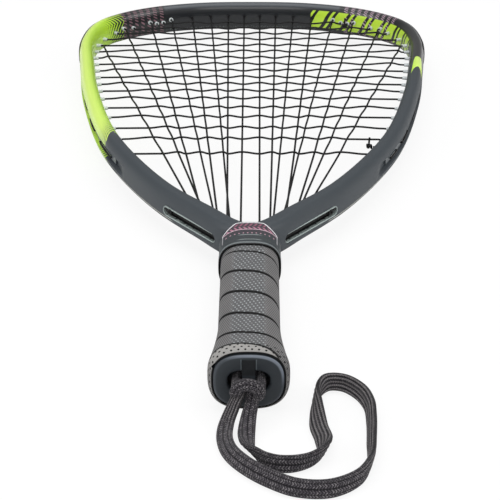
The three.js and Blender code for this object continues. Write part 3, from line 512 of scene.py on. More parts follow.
# %% Lanyard hitch
HITCH_WIDTH = 6.4
HITCH_THICKNESS = 4.2
HITCH_SQUEEZE = 0.24
HITCH_ROUTE = [
    [0, 8.6, 0], [5.5, 6.2, 0], [6.2, 1, 0], [5.9, -3.4, -0.8], [5.5, -6.4, -3.4], [5, -8, -1],
    [3.4, -8.6, 2], [-0.6, -9, 3.6], [-4.6, -8.6, 2.2], [-6.2, -8.4, -0.8], [-6.4, -6.9, -3.4],
    [-6.2, -3.8, -0.8], [-6.2, 0.8, 0], [-5.5, 6.2, 0],
]
HITCH_EXIT = [0, -5.5, 0]
HITCH_CORE = [-0.6, 1, -3]
HITCH_SQUEEZE_PLACE = (-6.5, -4)
hitch_path = Path(catmull_rom(HITCH_ROUTE, closed=True))


def on_hitch(u, v):
    middle = hitch_path.at(u * hitch_path.length)
    heading = hitch_path.heading(u * hitch_path.length)
    edge = unit(np.cross(middle - HITCH_CORE, heading))
    face = np.cross(heading, edge)
    squeeze = 1 - HITCH_SQUEEZE * smoothstep(middle[..., 1], *HITCH_SQUEEZE_PLACE)
    across, up = braid_section(v, HITCH_WIDTH * squeeze, HITCH_THICKNESS)
    return middle + edge * across[:, None] + face * up[:, None]


lanyard_hitch = sheet_over("lanyard_hitch_braid", 120, 48, on_hitch, degrees=60)
print("hitch:", round(hitch_path.length, 1), "mm round")

# %% [markdown]
# The braid's finish draws twelve columns of small slanted stitches round the strap, with painted shade in
# the gutters between them and paler flecks, painted highlights where single yarns catch the light. Where the
# loop is bent the ribs stand out more, so there the finish also paints shade into the furrows between the
# five ribs of each face and a painted highlight onto their ridges.

# %% Braid finish
BRAID_COLUMNS = 12
STITCH_LENGTH = 1.35
RIBBED = (0.35, 0.765)


def braid_finish(name, length, ribs):
    braid = Finish(name)
    u, v, _ = braid.place("UV")
    middle = ((v * BRAID_COLUMNS).part() - 0.5).size()
    stitch = ((u * (length / STITCH_LENGTH) + middle * 1.6) * (2 * math.pi)).wave() * 0.5 + 0.5
    # painted shade: the gutters between the stitch columns are darkened
    gutter = middle.rise(0.5, 0.3)
    fleck = braid.noise(620, 2, 0.6).rise(0.42, 0.62) * stitch.rise(0.3, 0.8) * gutter
    fuzz = braid.noise(2600, 3, 0.7)
    yarn = stitch * 0.65 + fuzz * 0.35
    dark = braid.blend(yarn * gutter, (22, 21, 25), (86, 82, 88))
    face_place = ((v + 0.25) * (2 * math.pi)).wave().size().power(0.8)
    ridge = (face_place * (STRAP_RIBS * math.pi) + math.pi / 2).wave() * 0.5 + 0.5
    ribbed = (u.within(*RIBBED, 0.03) + u.rise(0.07, 0.03)).least(1) * ribs
    colour = braid.layered(
        dark,
        (fleck * 0.75, (146, 141, 144)),
        # painted shade in the furrows between the ribs, then a painted highlight on the ridges
        ((1 - ridge).power(2) * ribbed * 0.9, (18, 17, 20)),
        (ridge.power(3) * ribbed * (yarn * 0.5 + 0.5) * 0.7, (150, 145, 145)),
    )
    height = (stitch * 0.6 + 0.4) * gutter + fuzz * 0.3 + ridge * ribbed * 0.8
    return braid.finish(
        Base_Color=colour, Roughness=0.85, Normal=braid.bump(height, 0.0006, 0.9), Specular_IOR_Level=0.2,
        Sheen_Weight=0.1,
    )


strap_finish = braid_finish("lanyard braid", strap_path.length, 1)
hitch_finish = braid_finish("hitch braid", hitch_path.length, 0)
dress(lanyard_strap, strap_finish, "lanyard_strap", "lanyard")
dress(lanyard_hitch, hitch_finish, "lanyard_hitch", "lanyard")
tuple(in_scene(HITCH_EXIT).tolist())
in_scene(strap_path.at(np.linspace(0, strap_path.length, STRAP_STEPS + 1))).tolist()

# %% [markdown]
# ## Hoop
# The frame is one moulded tube in a teardrop. Its middle line passes through points that are shares of the
# head's half width and of its length. The tube is widest in the arms, and its outer wall has a groove for
# the strings from above the arms round the head.

# %% Hoop line
HEAD_HALF_WIDTH = 120.7
THROAT_FROM_BUTT = 153.5
GUARD_THICKNESS = 1.8
HEAD_TUBE_WIDTH = 10
ARM_TUBE_WIDTH = 12.2
TUBE_TAPER = (0.25, 0.8)
TUBE_HEIGHT = 21.2
TUBE_POWER = 2.4
GROOVE_DEPTH = 3.2
GROOVE_HALF = 2.7
GROOVE_RUN_IN = 25
GROOVE_OPENS = 0.4
STRING_RADIUS = 0.65
STRING_TURN = 2
SLOT_CENTRE = 45
HOOP_TOP = RACKET_LENGTH - GUARD_THICKNESS - CLEARANCE - HEAD_TUBE_WIDTH / 2
HOOP_REACH = HOOP_TOP - THROAT_FROM_BUTT
HOOP_SHARES = [
    [0, 0], [0.068, 0.0105], [0.207, 0.06], [0.428, 0.145], [0.73, 0.3344], [0.901, 0.5435],
    [0.967, 0.684], [0.999, 0.8], [0.942, 0.886], [0.81, 0.9335], [0.612, 0.97], [0.328, 0.9945], [0, 1],
]
right_outline = [
    [x * HEAD_HALF_WIDTH, THROAT_FROM_BUTT + y * HOOP_REACH, 0] for x, y in HOOP_SHARES
]
left_outline = [[-x, y, 0] for x, y, _ in right_outline[-2:0:-1]]
hoop = Path(catmull_rom(right_outline + left_outline, closed=True))
HALF_HOOP = hoop.length / 2
print("hoop:", round(hoop.length, 1), "mm round")

# %% Places on the hoop


def outward_at(distance):
    heading = hoop.heading(distance)
    return np.stack([heading[..., 1], -heading[..., 0], 0 * heading[..., 0]], -1)


def from_throat(distance):
    distance = np.asarray(distance, float) % hoop.length
    return np.minimum(distance, hoop.length - distance)


def half_width_at(distance):
    taper = smoothstep(from_throat(distance) / HALF_HOOP, *TUBE_TAPER)
    return (ARM_TUBE_WIDTH + (HEAD_TUBE_WIDTH - ARM_TUBE_WIDTH) * taper) / 2


def beside(distance, out, up):
    """Points so far outward of the middle line and so far over the middle plane."""
    point = hoop.at(distance) + outward_at(distance) * np.asarray(out, float)[..., None]
    point[..., 2] += up
    return point


def distance_where(measure, target, low, high):
    for _ in range(40):
        middle = (low + high) / 2
        low, high = (middle, high) if measure(middle) < target else (low, middle)
    return low


# %% [markdown]
# ## String holes
# Eight long strings lie to each side of the middle, and eighteen cross strings span the head. The long
# strings' holes are set by the distance along the tube from the top, the cross strings' by their height.

# %% String holes
MAIN_HEAD_SHARES = [0.05, 0.154, 0.27, 0.396, 0.54, 0.69, 0.903, 1.29]
FIRST_CROSS_SHARE = 0.0455
CROSS_PITCH_SHARE = 0.0335
CROSS_GAP_SHARES = [0.95, 0.86, 0.97, 1, 1, 1, 1, 1, 1, 1, 1, 1.09, 1.26, 1.26, 1.43, 1.38, 1.81]
TOP_STRIP_MAINS = 4
TIE_OFF_MAIN = 5
CORNER_REACH = 150
TOP_PROUD = 0.5
CORNER_PROUD = 1
SIDE_PROUD = 3
STRIP_LEAD = 7.9

mains = [HALF_HOOP - share * HEAD_HALF_WIDTH for share in MAIN_HEAD_SHARES]
top_reach = HALF_HOOP - (mains[TOP_STRIP_MAINS - 1] + mains[TOP_STRIP_MAINS]) / 2


def proud_at(distance):
    """How far a grommet's barrel stands past the tube's inner wall."""
    from_top = abs(HALF_HOOP - distance)
    side = CORNER_PROUD + (SIDE_PROUD - CORNER_PROUD) * smoothstep(from_top, top_reach, CORNER_REACH)
    return np.where(from_top < top_reach, TOP_PROUD, side)


def inside_at(distance, past, up=0):
    """A point that lies past the tube's inner wall."""
    return beside(distance, -(half_width_at(distance) + past), up)


def mouth_at(distance, up):
    return inside_at(distance, proud_at(distance) + STRING_TURN, up)


cross_heights = HOOP_TOP - HOOP_REACH * (
    FIRST_CROSS_SHARE + CROSS_PITCH_SHARE * np.cumsum([0, *CROSS_GAP_SHARES])
)
crosses = [
    distance_where(lambda distance: mouth_at(distance, 0)[1], height, SLOT_CENTRE, HALF_HOOP)
    for height in cross_heights
]
tie_offs = [(crosses[0] + mains[TIE_OFF_MAIN]) / 2, (crosses[-1] + crosses[-2]) / 2]
strip_start = crosses[-1] - STRIP_LEAD


def groove_at(distance):
    return GROOVE_DEPTH * smoothstep(from_throat(distance), strip_start - GROOVE_RUN_IN, strip_start)


print("cross strings lie", cross_heights[[0, -1]].round(1), "mm from the butt")

# %% [markdown]
# ## Frame
# The tube's section is a squarish oval. Sixty steps go round it: three to each side of the middle of the
# outer wall make the groove, and where there is no groove they follow the oval. Next to the yoke the outer
# wall swells a little. The yoke and the handle's shaft are one oval body that grows out of the throat and
# is joined to the hoop.

# %% Hoop tube
TUBE_STEPS = 60
LIP_STEPS = 3
GROOVE_PROFILE = np.array([0, 0.84 * GROOVE_HALF, GROOVE_HALF])
ROOT_SWELL = 2.6
ROOT_REACH = (10, 75)
PLAIN_SPOT = (0.0, 0.25)


def on_tube(distance, angle, grow=0.0):
    return superellipse(angle, half_width_at(distance) + grow, TUBE_HEIGHT / 2 + grow, TUBE_POWER)


def on_hoop(u, v):
    distance = u * hoop.length
    out, up = on_tube(distance, v * 2 * math.pi)
    out = out + np.where(out > 0, ROOT_SWELL, 0) * (1 - smoothstep(from_throat(distance), *ROOT_REACH))
    step = np.rint(v * TUBE_STEPS).astype(int)
    from_middle = np.minimum(step, TUBE_STEPS - step)
    inside = from_middle < LIP_STEPS
    depth = groove_at(distance)
    share = smoothstep(depth, 0, GROOVE_DEPTH * GROOVE_OPENS)
    side = np.where(v < 0.5, 1, -1)
    floor_up = side * GROOVE_PROFILE[np.minimum(from_middle, LIP_STEPS - 1)]
    floor_out = half_width_at(distance) - depth
    out = np.where(inside, out + (floor_out - out) * share, out)
    up = np.where(inside, up + (floor_up - up) * share, up)
    return beside(distance, out, up)


frame_piece = sheet_over("frame_tube", 520, TUBE_STEPS, on_hoop)

# %% Yoke and shaft
HANDLE_POWER = 2.7
YOKE_START = 127.6
SHAFT_START = 13.8
YOKE_STATIONS = np.array([
    [SHAFT_START, 11.2, 8.8], [YOKE_START - 3, 11.2, 8.8], [YOKE_START + 1, 15.4, 12.6],
    [YOKE_START + 11, 15.7, 11.5], [YOKE_START + 25, 16.3, 10.4], [YOKE_START + 31.4, 16.3, 8.9],
])


def oval(y, half_width, half_height, turn, power=HANDLE_POWER):
    """Points on sections that are square to the handle."""
    across, up = superellipse(turn * 2 * math.pi, half_width, half_height, power)
    return np.stack([across, y + 0 * across, up], -1)


def halves_at(y, stations):
    """Half width and half height of a section between stations along the handle."""
    return [np.interp(y, stations[:, 0], column) for column in stations.T[1:]]


def on_yoke(u, v):
    fine = np.linspace(YOKE_START + 1, YOKE_STATIONS[-1, 0], 24)
    rings = np.concatenate([[SHAFT_START, YOKE_START - 3], fine])
    y = rings[np.rint(u * (len(rings) - 1)).astype(int)]
    return oval(y, *halves_at(y, YOKE_STATIONS), v)


yoke = sheet_over("yoke", 25, 72, on_yoke)
set_uv(yoke, *PLAIN_SPOT)
combine(frame_piece, yoke, "UNION")
print("frame with yoke:", len(frame_piece.data.polygons), "faces")

# %% [markdown]
# Each arm has a long slot in its outer side, which the strings' loops lie in. The cutter is a cylinder
# whose two halves are pulled apart, which gives round ends. It is lifted and tilted a little, as the outer
# wall swells there.

# %% Arm slots
SLOT_HALF_LENGTH = 26
SLOT_HALF_HEIGHT = 3.2
SLOT_DROP = 1.4
SLOT_SHIFT = -2.2
SLOT_LIFT = 1.4
SLOT_TILT = 0.047
SLOT_DEPTH = 5

slot_point = hoop.at(SLOT_CENTRE)
slot_along = hoop.heading(SLOT_CENTRE)
slot_out = outward_at(SLOT_CENTRE)
slot_rim = float(half_width_at(SLOT_CENTRE))
slot_floor = slot_rim - SLOT_DEPTH
slot_axes = axes_at(slot_along, UPWARD, slot_out, slot_point)


def in_slot(along, up, out):
    return slot_point + slot_along * along + slot_out * out + UPWARD * up


def stadium(name, half_length, half_height, low, high):
    """A prism with round ends, in the right-hand slot's own axes."""
    piece = added(
        bpy.ops.mesh.primitive_cylinder_add, name,
        vertices=64, radius=half_height, depth=high - low, location=(0, 0, (low + high) / 2),
    )
    pull = half_length - half_height
    for side in (-1, 1):
        with editing(piece, "VERT") as shape:
            pick(shape.verts, lambda corner: corner.co.x * side > 0.001)
            bpy.ops.transform.translate(value=(side * pull, 0, 0))
    return piece


def into_slot(piece):
    shift = Matrix.Translation((SLOT_SHIFT, -SLOT_DROP, SLOT_LIFT)) @ Matrix.Rotation(SLOT_TILT, 4, "Y")
    piece.data.transform(slot_axes @ shift)
    heal(piece, fill=False)


slot_cutter = stadium("slot_cutter", SLOT_HALF_LENGTH, SLOT_HALF_HEIGHT, slot_floor, slot_rim + 2)
into_slot(slot_cutter)
set_uv(slot_cutter, *PLAIN_SPOT)
left_cutter = mirrored(slot_cutter, "left_slot_cutter")
combine(frame_piece, slot_cutter, "DIFFERENCE")
combine(frame_piece, left_cutter, "DIFFERENCE")
smooth(frame_piece, 32)
print("frame with slots:", len(frame_piece.data.polygons), "faces")

# %% [markdown]
# ## Frame paint
# On the real frame the pattern is a decal under clear lacquer. Here it is worked out from the tube's own
# map: `reach` is the distance from the throat in millimetres, and `around` goes from the outer wall (0)
# over the top (0.25) and the inner wall (0.5) back underneath. Every motif is a mask in these two measures.

# %% Where a point of the frame lies
LEFT_LIME = (166, 408)
LIME_EDGE = 0.5
LINE_PITCH = 3.0
LINE_SLANT = 46
LEFT_BARS = (405.8, 444.3)
RIGHT_BARS = (391.9, 442.0)
BAR_PITCH = 5.6
RIGHT_BLACK = (295, 299)
INNER_BARS = (352, 468)
INNER_BAR_PITCH = 16.3
INNER_BAR_SLANT = 42
EDGE_LINE = (62, 138)
HEAD_TONE = (440, 447)
paint = Finish("frame paint")
share, around, _ = paint.place("UV")
reach = (0.5 - (share - 0.5).size()) * hoop.length
left = share > 0.5
right = 1 - left
inner_wall = around.within(0.37, 0.64, 0.02)
top_face = around.within(0.1, 0.37, 0.02)

# %% [markdown]
# The left side is lime, with a rounded lower end. Towards both of its ends fine slanted lines thicken until
# the lime has turned dark. The right side is black with one lime chevron.

# %% Lime and black
lines = ((reach + (around - 0.42).size() * LINE_SLANT) / LINE_PITCH).part()
lower_end = LEFT_LIME[0] - (around - 0.27).size().least(0.12) * 60
lime = left * reach.rise(lower_end - 0.6, lower_end + 0.6)
lime = lime * reach.rise(LEFT_LIME[1] + LIME_EDGE, LEFT_LIME[1] - LIME_EDGE)
fade = reach.rise(383, 410) * 0.8 + reach.rise(lower_end + 24, lower_end) * 0.42
lime = lime * (1 - (lines < fade))
lift = (around - 0.2).size() / 0.112
chevron = reach.rise(288.6 - 14 * lift.power(2), 289.4 - 14 * lift.power(2))
chevron = chevron * reach.rise(309.4 - 34 * lift.power(5), 308.6 - 34 * lift.power(5))
chevron = chevron * right * (lift < 1)
black = left * reach.rise(LEFT_LIME[1] - 25, LEFT_LIME[1] - 24.9) + right * reach.rise(*RIGHT_BLACK)
black = black * reach.rise(446.5, 443.5)

# %% [markdown]
# Columns of short slanted strokes, like stitching, run over the top and down the inner wall near both
# corners of the head. Further down the right inner wall stands a row of plain slanted lime bars.

# %% Stitching and bars
from_first_bar = (reach - LEFT_BARS[0]) * left + (reach - RIGHT_BARS[0]) * right
column = (from_first_bar / BAR_PITCH).part() - 0.5
stitched = left * reach.within(*LEFT_BARS, 0.2) + right * reach.within(*RIGHT_BARS, 0.2)
lean = right * 2.4 - 1.2
stitch = ((around * 27 + column * lean).part() < 0.42) * (column.size() < 0.27)
stitch = stitch * around.within(0.15, 0.66, 0.01) * stitched
bar_place = ((reach - (around - 0.5) * INNER_BAR_SLANT) / INNER_BAR_PITCH).part()
inner_bars = bar_place.within(0.05, 0.56, 0.01) + bar_place.within(0.72, 0.86, 0.01)
inner_bars = inner_bars * around.within(0.4, 0.61, 0.006) * right * reach.within(*INNER_BARS, 0.5)
edge_line = around.within(0.893, 0.907, 0.003) * reach.within(*EDGE_LINE, 2)
# a speckled painted highlight along the lower edge of the head's inner wall
speckled_highlight = paint.noise(1500, 2, 0.6).rise(0.52, 0.66) * around.within(0.605, 0.632, 0.004)
speckled_highlight = speckled_highlight * reach.rise(430, 450)
print("motifs on the frame: lime, chevron, stitching, bars")

# %% [markdown]
# The motifs are laid over each other from the ground colour up. Painted shade darkens the inner wall,
# painted highlights lighten the head's top face and the lime's upper side, and a speckled painted highlight
# runs low along the head's inner wall. The paint is satin on the charcoal arms and glossier on the head.

# %% Frame colours
speckle = paint.noise(3000, 2, 0.6)
charcoal = paint.blend(speckle, (50, 56, 61), (62, 69, 75))
# the head's own grey, with its top face painted lighter than its sides as painted light
head_grey_lit_top = paint.blend(top_face, (24, 27, 32), (66, 71, 77))
black_tone = paint.blend(speckle, (13, 14, 16), (22, 24, 27))
# the lime is painted lighter over its outer side and top as a painted highlight
lime_tone = paint.blend(around.within(0.06, 0.27, 0.07), (182, 226, 52), (216, 246, 112))
colour = paint.layered(
    charcoal,
    (reach.rise(*HEAD_TONE), head_grey_lit_top),
    (black.least(1), black_tone),
    # painted shade on the inner wall
    (inner_wall * 0.45, (14, 17, 21)),
    (lime + chevron, lime_tone),
    (stitch * left, (126, 92, 102)),
    (stitch * right, (178, 152, 166)),
    (inner_bars, (196, 234, 62)),
    (speckled_highlight * 0.6, (150, 160, 158)),
    (edge_line * 0.85, (214, 214, 204)),
)
gloss = reach.rise(285, 300) * right + left * reach.rise(150, 170)
frame_finish = paint.finish(
    Base_Color=colour,
    Roughness=0.46 - gloss * 0.16 + speckle * 0.06,
    Coat_Weight=gloss * 0.35,
    Coat_Roughness=0.12,
    Normal=paint.bump(speckle, 0.00003, 0.4),
)
dress(frame_piece, frame_finish, "frame")

# %% [markdown]
# ## Head guard
# A black nylon strip covers the outside of the head. It follows the tube's oval, a little outside it, and
# thins towards its edges and ends.

# %% Head guard
GUARD_REACH = 178
GUARD_EDGE = math.radians(43)
GUARD_END_TAPER = 9
GUARD_THIN = (10, 75)
GUARD_LEAST = 0.3
GUARD_EDGE_POWER = 8


def on_guard(u, v):
    distance = HALF_HOOP - GUARD_REACH + u * 2 * GUARD_REACH
    outside = v < 0.5
    sweep = np.where(outside, 1 - 4 * v, 4 * v - 3)
    angle = sweep * GUARD_EDGE
    from_end = np.minimum(u, 1 - u) * 2 * GUARD_REACH
    thin = np.sqrt(np.clip(from_end / GUARD_END_TAPER, 0.05, 1))
    thin = thin * (GUARD_LEAST + (1 - GUARD_LEAST) * smoothstep(from_end, *GUARD_THIN))
    edge = np.sqrt(np.clip(1 - np.abs(sweep) ** GUARD_EDGE_POWER, 0, 1))
    grow = CLEARANCE + GUARD_THICKNESS * np.where(outside, thin * edge, 0)
    out, up = on_tube(distance, angle, grow)
    return beside(distance, out, up)


head_guard = sheet_over("head_guard_strip", 240, 48, on_guard, degrees=50)

guard = Finish("guard nylon")
scuff = guard.noise(260, 4, 0.65)
guard_grain = guard.noise(4200, 2, 0.5)
guard_finish = guard.finish(
    Base_Color=guard.blend(scuff.rise(0.45, 0.75), (20, 21, 23), (33, 35, 38)),
    Roughness=scuff * 0.25 + 0.38,
    Normal=guard.bump(guard_grain, 0.0001, 0.5),
)
dress(head_guard, guard_finish, "head_guard")

# %% [markdown]
# ## Grommets
# Every string passes the tube in a barrel with a soft rounded mouth: a slightly tapered cone whose end is
# inset and pushed in to open the bore. The same steps make the barrel at each hole. The strips in the
# groove hold the barrels: black over the head, clear along the sides.

# %% One barrel
BARREL_BASE = 1.6
BARREL_BORE = 0.92
BORE_SHARE = 0.9
LIP_HEIGHT = 0.35
LIP_CLOSES = 0.93
MOUTH_STEP = 0.12
MOUTH_RISE = 0.05


def barrel(length, tip, flange):
    """A barrel along +Z with its mouth at the far end; flange is the radius of the mouth's lip."""
    piece = added(
        bpy.ops.mesh.primitive_cone_add, "barrel",
        vertices=24, radius1=BARREL_BASE, radius2=tip, depth=length, location=(0, 0, length / 2),
    )
    top = length - 1e-3
    with editing(piece) as shape:
        pick(shape.faces, lambda face: face.calc_center_median().z > top and face.normal.z > 0.9)
        bpy.ops.mesh.extrude_region_move(TRANSFORM_OT_translate={"value": (0, 0, 0)})
        bpy.ops.transform.resize(value=(flange / tip,) * 2 + (1,))
        bpy.ops.mesh.extrude_region_move(TRANSFORM_OT_translate={"value": (0, 0, LIP_HEIGHT)})
        bpy.ops.transform.resize(value=(LIP_CLOSES, LIP_CLOSES, 1))
        bpy.ops.mesh.inset(thickness=LIP_CLOSES * flange - BARREL_BORE - MOUTH_STEP)
        bpy.ops.transform.translate(value=(0, 0, MOUTH_RISE))
        bpy.ops.mesh.inset(thickness=MOUTH_STEP)
        bpy.ops.mesh.extrude_region_move(TRANSFORM_OT_translate={"value": (0, 0, -BORE_SHARE * length)})
    return piece


def barrel_at(foot, mouth, tip, flange):
    """A barrel from foot to mouth, both in the racket's millimetres."""
    run = np.asarray(mouth) - np.asarray(foot)
    length = float(np.linalg.norm(run))
    piece = barrel(length, tip, flange)
    along = run / length
    level = unit(np.cross(UPWARD, along))
    piece.data.transform(axes_at(level, np.cross(along, level), along, foot))
    smooth(piece, 40)
    return piece


# %% Grommet strips
STRIP_THICKNESS = 0.8
STRIP_WIDTH = 4.6
STRIP_GAP = 2
GROOVE_SPOT = (2.0, 0.5)
TOP_BARREL = np.array([1.3, 1.45])
CORNER_BARREL = np.array([1.5, 1.75])
SIDE_BARREL = np.array([1.1, 1.2])
STRING_LAYER = STRING_RADIUS + CLEARANCE / 2
STRIP_TOP = CLEARANCE + STRIP_THICKNESS
LOOP_HEIGHT = STRIP_TOP + CLEARANCE + STRING_RADIUS


def in_groove_at(distance, lift, up):
    """A point that lies over the groove's floor."""
    return beside(distance, half_width_at(distance) - groove_at(distance) + lift, up)


def strip(name, low, high):
    def on_strip(u, v):
        distance = low + u * (high - low)
        corner = np.rint(v * 4).astype(int) % 4
        lift = np.where((corner == 1) | (corner == 2), STRIP_TOP, CLEARANCE)
        side = np.where(corner < 2, -1, 1)
        return in_groove_at(distance, lift, side * STRIP_WIDTH / 2)

    piece = sheet_over(name, max(40, int((high - low) / 2.5)), 4, on_strip)
    set_uv(piece, *GROOVE_SPOT)
    return piece


def hole_barrel(distance, up):
    """The barrel at a hole: a wide low mouth at the corner, a slim proud one along the side."""
    from_top = abs(HALF_HOOP - distance)
    side = smoothstep(from_top, top_reach, CORNER_REACH)
    radii = TOP_BARREL if from_top < top_reach else CORNER_BARREL + (SIDE_BARREL - CORNER_BARREL) * side
    foot = in_groove_at(distance, CLEARANCE, up)
    return barrel_at(foot, inside_at(distance, proud_at(distance), up), *radii.tolist())


holes = [(distance, STRING_LAYER) for distance in mains]
holes += [(distance, -STRING_LAYER) for distance in [*crosses, *tie_offs]]
top_holes = [hole for hole in holes if hole[0] > HALF_HOOP - top_reach]
side_holes = [hole for hole in holes if hole[0] < HALF_HOOP - top_reach]
top_strip = merge("top_grommet_strip", [
    strip("top_strip", HALF_HOOP - top_reach, HALF_HOOP + top_reach),
    *[hole_barrel(distance, up) for distance, up in top_holes],
    *[hole_barrel(hoop.length - distance, up) for distance, up in top_holes],
])
right_strip = merge("right_grommet_strip", [
    strip("side_strip", strip_start, HALF_HOOP - top_reach - STRIP_GAP),
    *[hole_barrel(distance, up) for distance, up in side_holes],
])
left_strip = mirrored(right_strip, "left_grommet_strip")

# %% [markdown]
# ## Slot trays
# A grey nylon tray lines each slot. It is the slot's own outline made smaller: the outer face is inset and
# pushed in, and a barrel goes through its floor at each hole.

# %% Slot trays
TRAY_WALL = 0.8
TRAY_GAP = CLEARANCE / 3
TRAY_STEP = (0.5, 0.3)
TRAY_ROUNDING = 0.25
ARM_BARREL = (1.4, 1.5)
ARM_BARREL_SINK = 1.2
TRAY_TOP = slot_rim + 0.1
PAIR_SPACING = 2.9
ARM_HOLE_PLACES = [-19.5, -7.5, 5.5]
ARM_END_HOLE_PLACE = 16.5
arm_holes = [place + side * PAIR_SPACING / 2 for place in ARM_HOLE_PLACES for side in (-1, 1)]
arm_holes.append(ARM_END_HOLE_PLACE)


def arm_wall_depth(along):
    """How far under the slot's floor the arm's inner wall lies."""
    return np.dot(in_slot(along, 0, slot_floor) - inside_at(SLOT_CENTRE + along, 0), slot_out)


def arm_mouth(along, past=TOP_PROUD + STRING_TURN):
    return in_slot(along, STRING_LAYER, slot_floor - arm_wall_depth(along) - past)


def arm_loop(along):
    return in_slot(along, STRING_LAYER, slot_floor + LOOP_HEIGHT + SLOT_LIFT - SLOT_TILT * along)


tray = stadium(
    "tray", SLOT_HALF_LENGTH - TRAY_GAP, SLOT_HALF_HEIGHT - TRAY_GAP, slot_floor + TRAY_GAP, TRAY_TOP
)
with editing(tray) as shape:
    pick(shape.faces, lambda face: face.normal.z > 0.9)
    bpy.ops.mesh.inset(thickness=TRAY_WALL)
    bpy.ops.mesh.extrude_region_move(TRANSFORM_OT_translate={"value": (0, 0, -(SLOT_DEPTH - STRIP_TOP))})
    bpy.ops.mesh.inset(thickness=TRAY_STEP[0])
    bpy.ops.transform.translate(value=(0, 0, -TRAY_STEP[1]))
with editing(tray, "EDGE") as shape:
    pick(shape.edges, lambda edge: all(corner.co.z > TRAY_TOP - 0.01 for corner in edge.verts))
    bpy.ops.mesh.bevel(offset=TRAY_ROUNDING, segments=2, affect="EDGES")
into_slot(tray)
smooth(tray, 40)
arm_barrels = [
    barrel_at(arm_loop(along) - slot_out * ARM_BARREL_SINK, arm_mouth(along, TOP_PROUD), *ARM_BARREL)
    for along in arm_holes
]
right_tray = merge("right_slot_tray", [tray, *arm_barrels])
left_tray = mirrored(right_tray, "left_slot_tray")

# %% Nylon finishes
black_finish = grained("black nylon", 2500, (17, 18, 20), (27, 28, 31), 0.35, 0.00005)
clear_nylon = Finish("clear nylon")
map_u, _, _ = clear_nylon.place("UV")
in_groove = map_u > GROOVE_SPOT[0] - 0.5
cloud = clear_nylon.noise(420, 3, 0.6)
_, _, nylon_z = clear_nylon.own_place()
# painted shade on the barrels' undersides, and painted shade on the strip where it lies in the groove
clear_tone = clear_nylon.layered(
    clear_nylon.blend(cloud, (176, 184, 184), (232, 236, 238)),
    (nylon_z.rise(-1.0, -1.7), (58, 62, 64)),
    (in_groove, (86, 92, 96)),
)
clear_finish = clear_nylon.finish(
    Base_Color=clear_tone,
    Roughness=cloud * 0.15 + 0.22,
    Normal=clear_nylon.bump(cloud, 0.0001, 0.3),
)

# %% [markdown]
# The trays are the same grey nylon all over, but their deep floor is painted dark as shade and their rim
# gets a painted highlight, while the lower wall keeps the nylon's own tone. The finish measures how far
# along the slot and how far outwards a point lies, and small notches of painted shade run up the wall at
# even steps.

# %% Slot nylon
NOTCH_PITCH = 8.4
NOTCHES_END = (20, 21.5)
grey_nylon = Finish("grey nylon")
tray_x, tray_y, _ = grey_nylon.own_place()
from_slot_x, from_slot_y = tray_x.size() - slot_point[0], tray_y - slot_point[1]
outward = from_slot_x * slot_out[0] + from_slot_y * slot_out[1]
along = from_slot_x * slot_along[0] + from_slot_y * slot_along[1]
outward = outward - SLOT_LIFT + along * SLOT_TILT
mottle = grey_nylon.noise(700, 5, 0.7)
walls = grey_nylon.blend(mottle.rise(0.35, 0.7), (96, 105, 105), (160, 170, 166))
# rim: a painted highlight along the tray's edge
rim = outward.rise(slot_rim - 0.35, slot_rim - 0.15)
# painted shade on the deep floor, with notches of it running up the wall
notch = ((along / NOTCH_PITCH).part() - 0.5).size().rise(0.09, 0.04)
floor_shade = (outward + mottle * 0.8 - notch * 0.9).rise(slot_rim - 1.0, slot_rim - 2.1)
floor_shade = floor_shade * (1 - along.rise(*NOTCHES_END))
tray_tone = grey_nylon.layered(walls, (floor_shade, (14, 16, 17)), (rim, (160, 172, 170)))
grey_finish = grey_nylon.finish(
    Base_Color=tray_tone,
    Roughness=mottle * 0.3 + 0.35,
    Normal=grey_nylon.bump(mottle, 0.0002, 0.4),
)
dress(top_strip, black_finish, "top_grommets")
dress(right_strip, clear_finish, "right_grommets")
dress(left_strip, clear_finish, "left_grommets")
dress(right_tray, grey_finish, "right_slot_insert")
dress(left_tray, grey_finish, "left_slot_insert")
cover(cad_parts["yoke_grommets"], black_finish)

# %% [markdown]
# ## Strings
# The bed is woven: each string goes over one crossing and under the next. Between two crossings a string
# eases from one height to the other, which shows as fine waves. Next to the arms, three pairs of long
# strings cross each other before they enter their holes.

# %% Weave
WEAVE = 0.64
WEAVE_STEPS = 7
CROSSED_SHARES = (0.01, 0.995)
YOKE_STRING_PLACE = 5.4
YOKE_LOOP_PLACE = 146.8
SWAPPED_PAIRS = {1: [(3, 4)], -1: [(1, 2), (5, 6)]}
PAIR_CROSSING_SHARE = 0.07
arm_order = arm_holes[::-1]
MAIN_COUNT = len(mains)


def flip(points, side):
    return np.asarray(points) * np.array([side, 1, 1])


yoke_wall = distance_where(lambda distance: inside_at(distance, 0)[0], YOKE_STRING_PLACE, 0, SLOT_CENTRE)
yoke_roof = inside_at(yoke_wall, 0)[1]


def main_foot(k, side):
    """Where long string k, counted from the middle, leaves its lower hole."""
    if k == 0:
        return flip([YOKE_STRING_PLACE, yoke_roof + TOP_PROUD + STRING_TURN, STRING_LAYER], side)
    place = MAIN_COUNT - 1 - k
    for low, high in SWAPPED_PAIRS[side]:
        if k in (low, high):
            place = MAIN_COUNT - 1 - (low + high - k)
    return flip(arm_mouth(arm_order[place]), side)


def row_of(k, side):
    return MAIN_COUNT + k if side > 0 else MAIN_COUNT - 1 - k


main_ends = {
    (k, side): (main_foot(k, side), flip(mouth_at(mains[k], STRING_LAYER), side))
    for k in range(MAIN_COUNT) for side in (-1, 1)
}


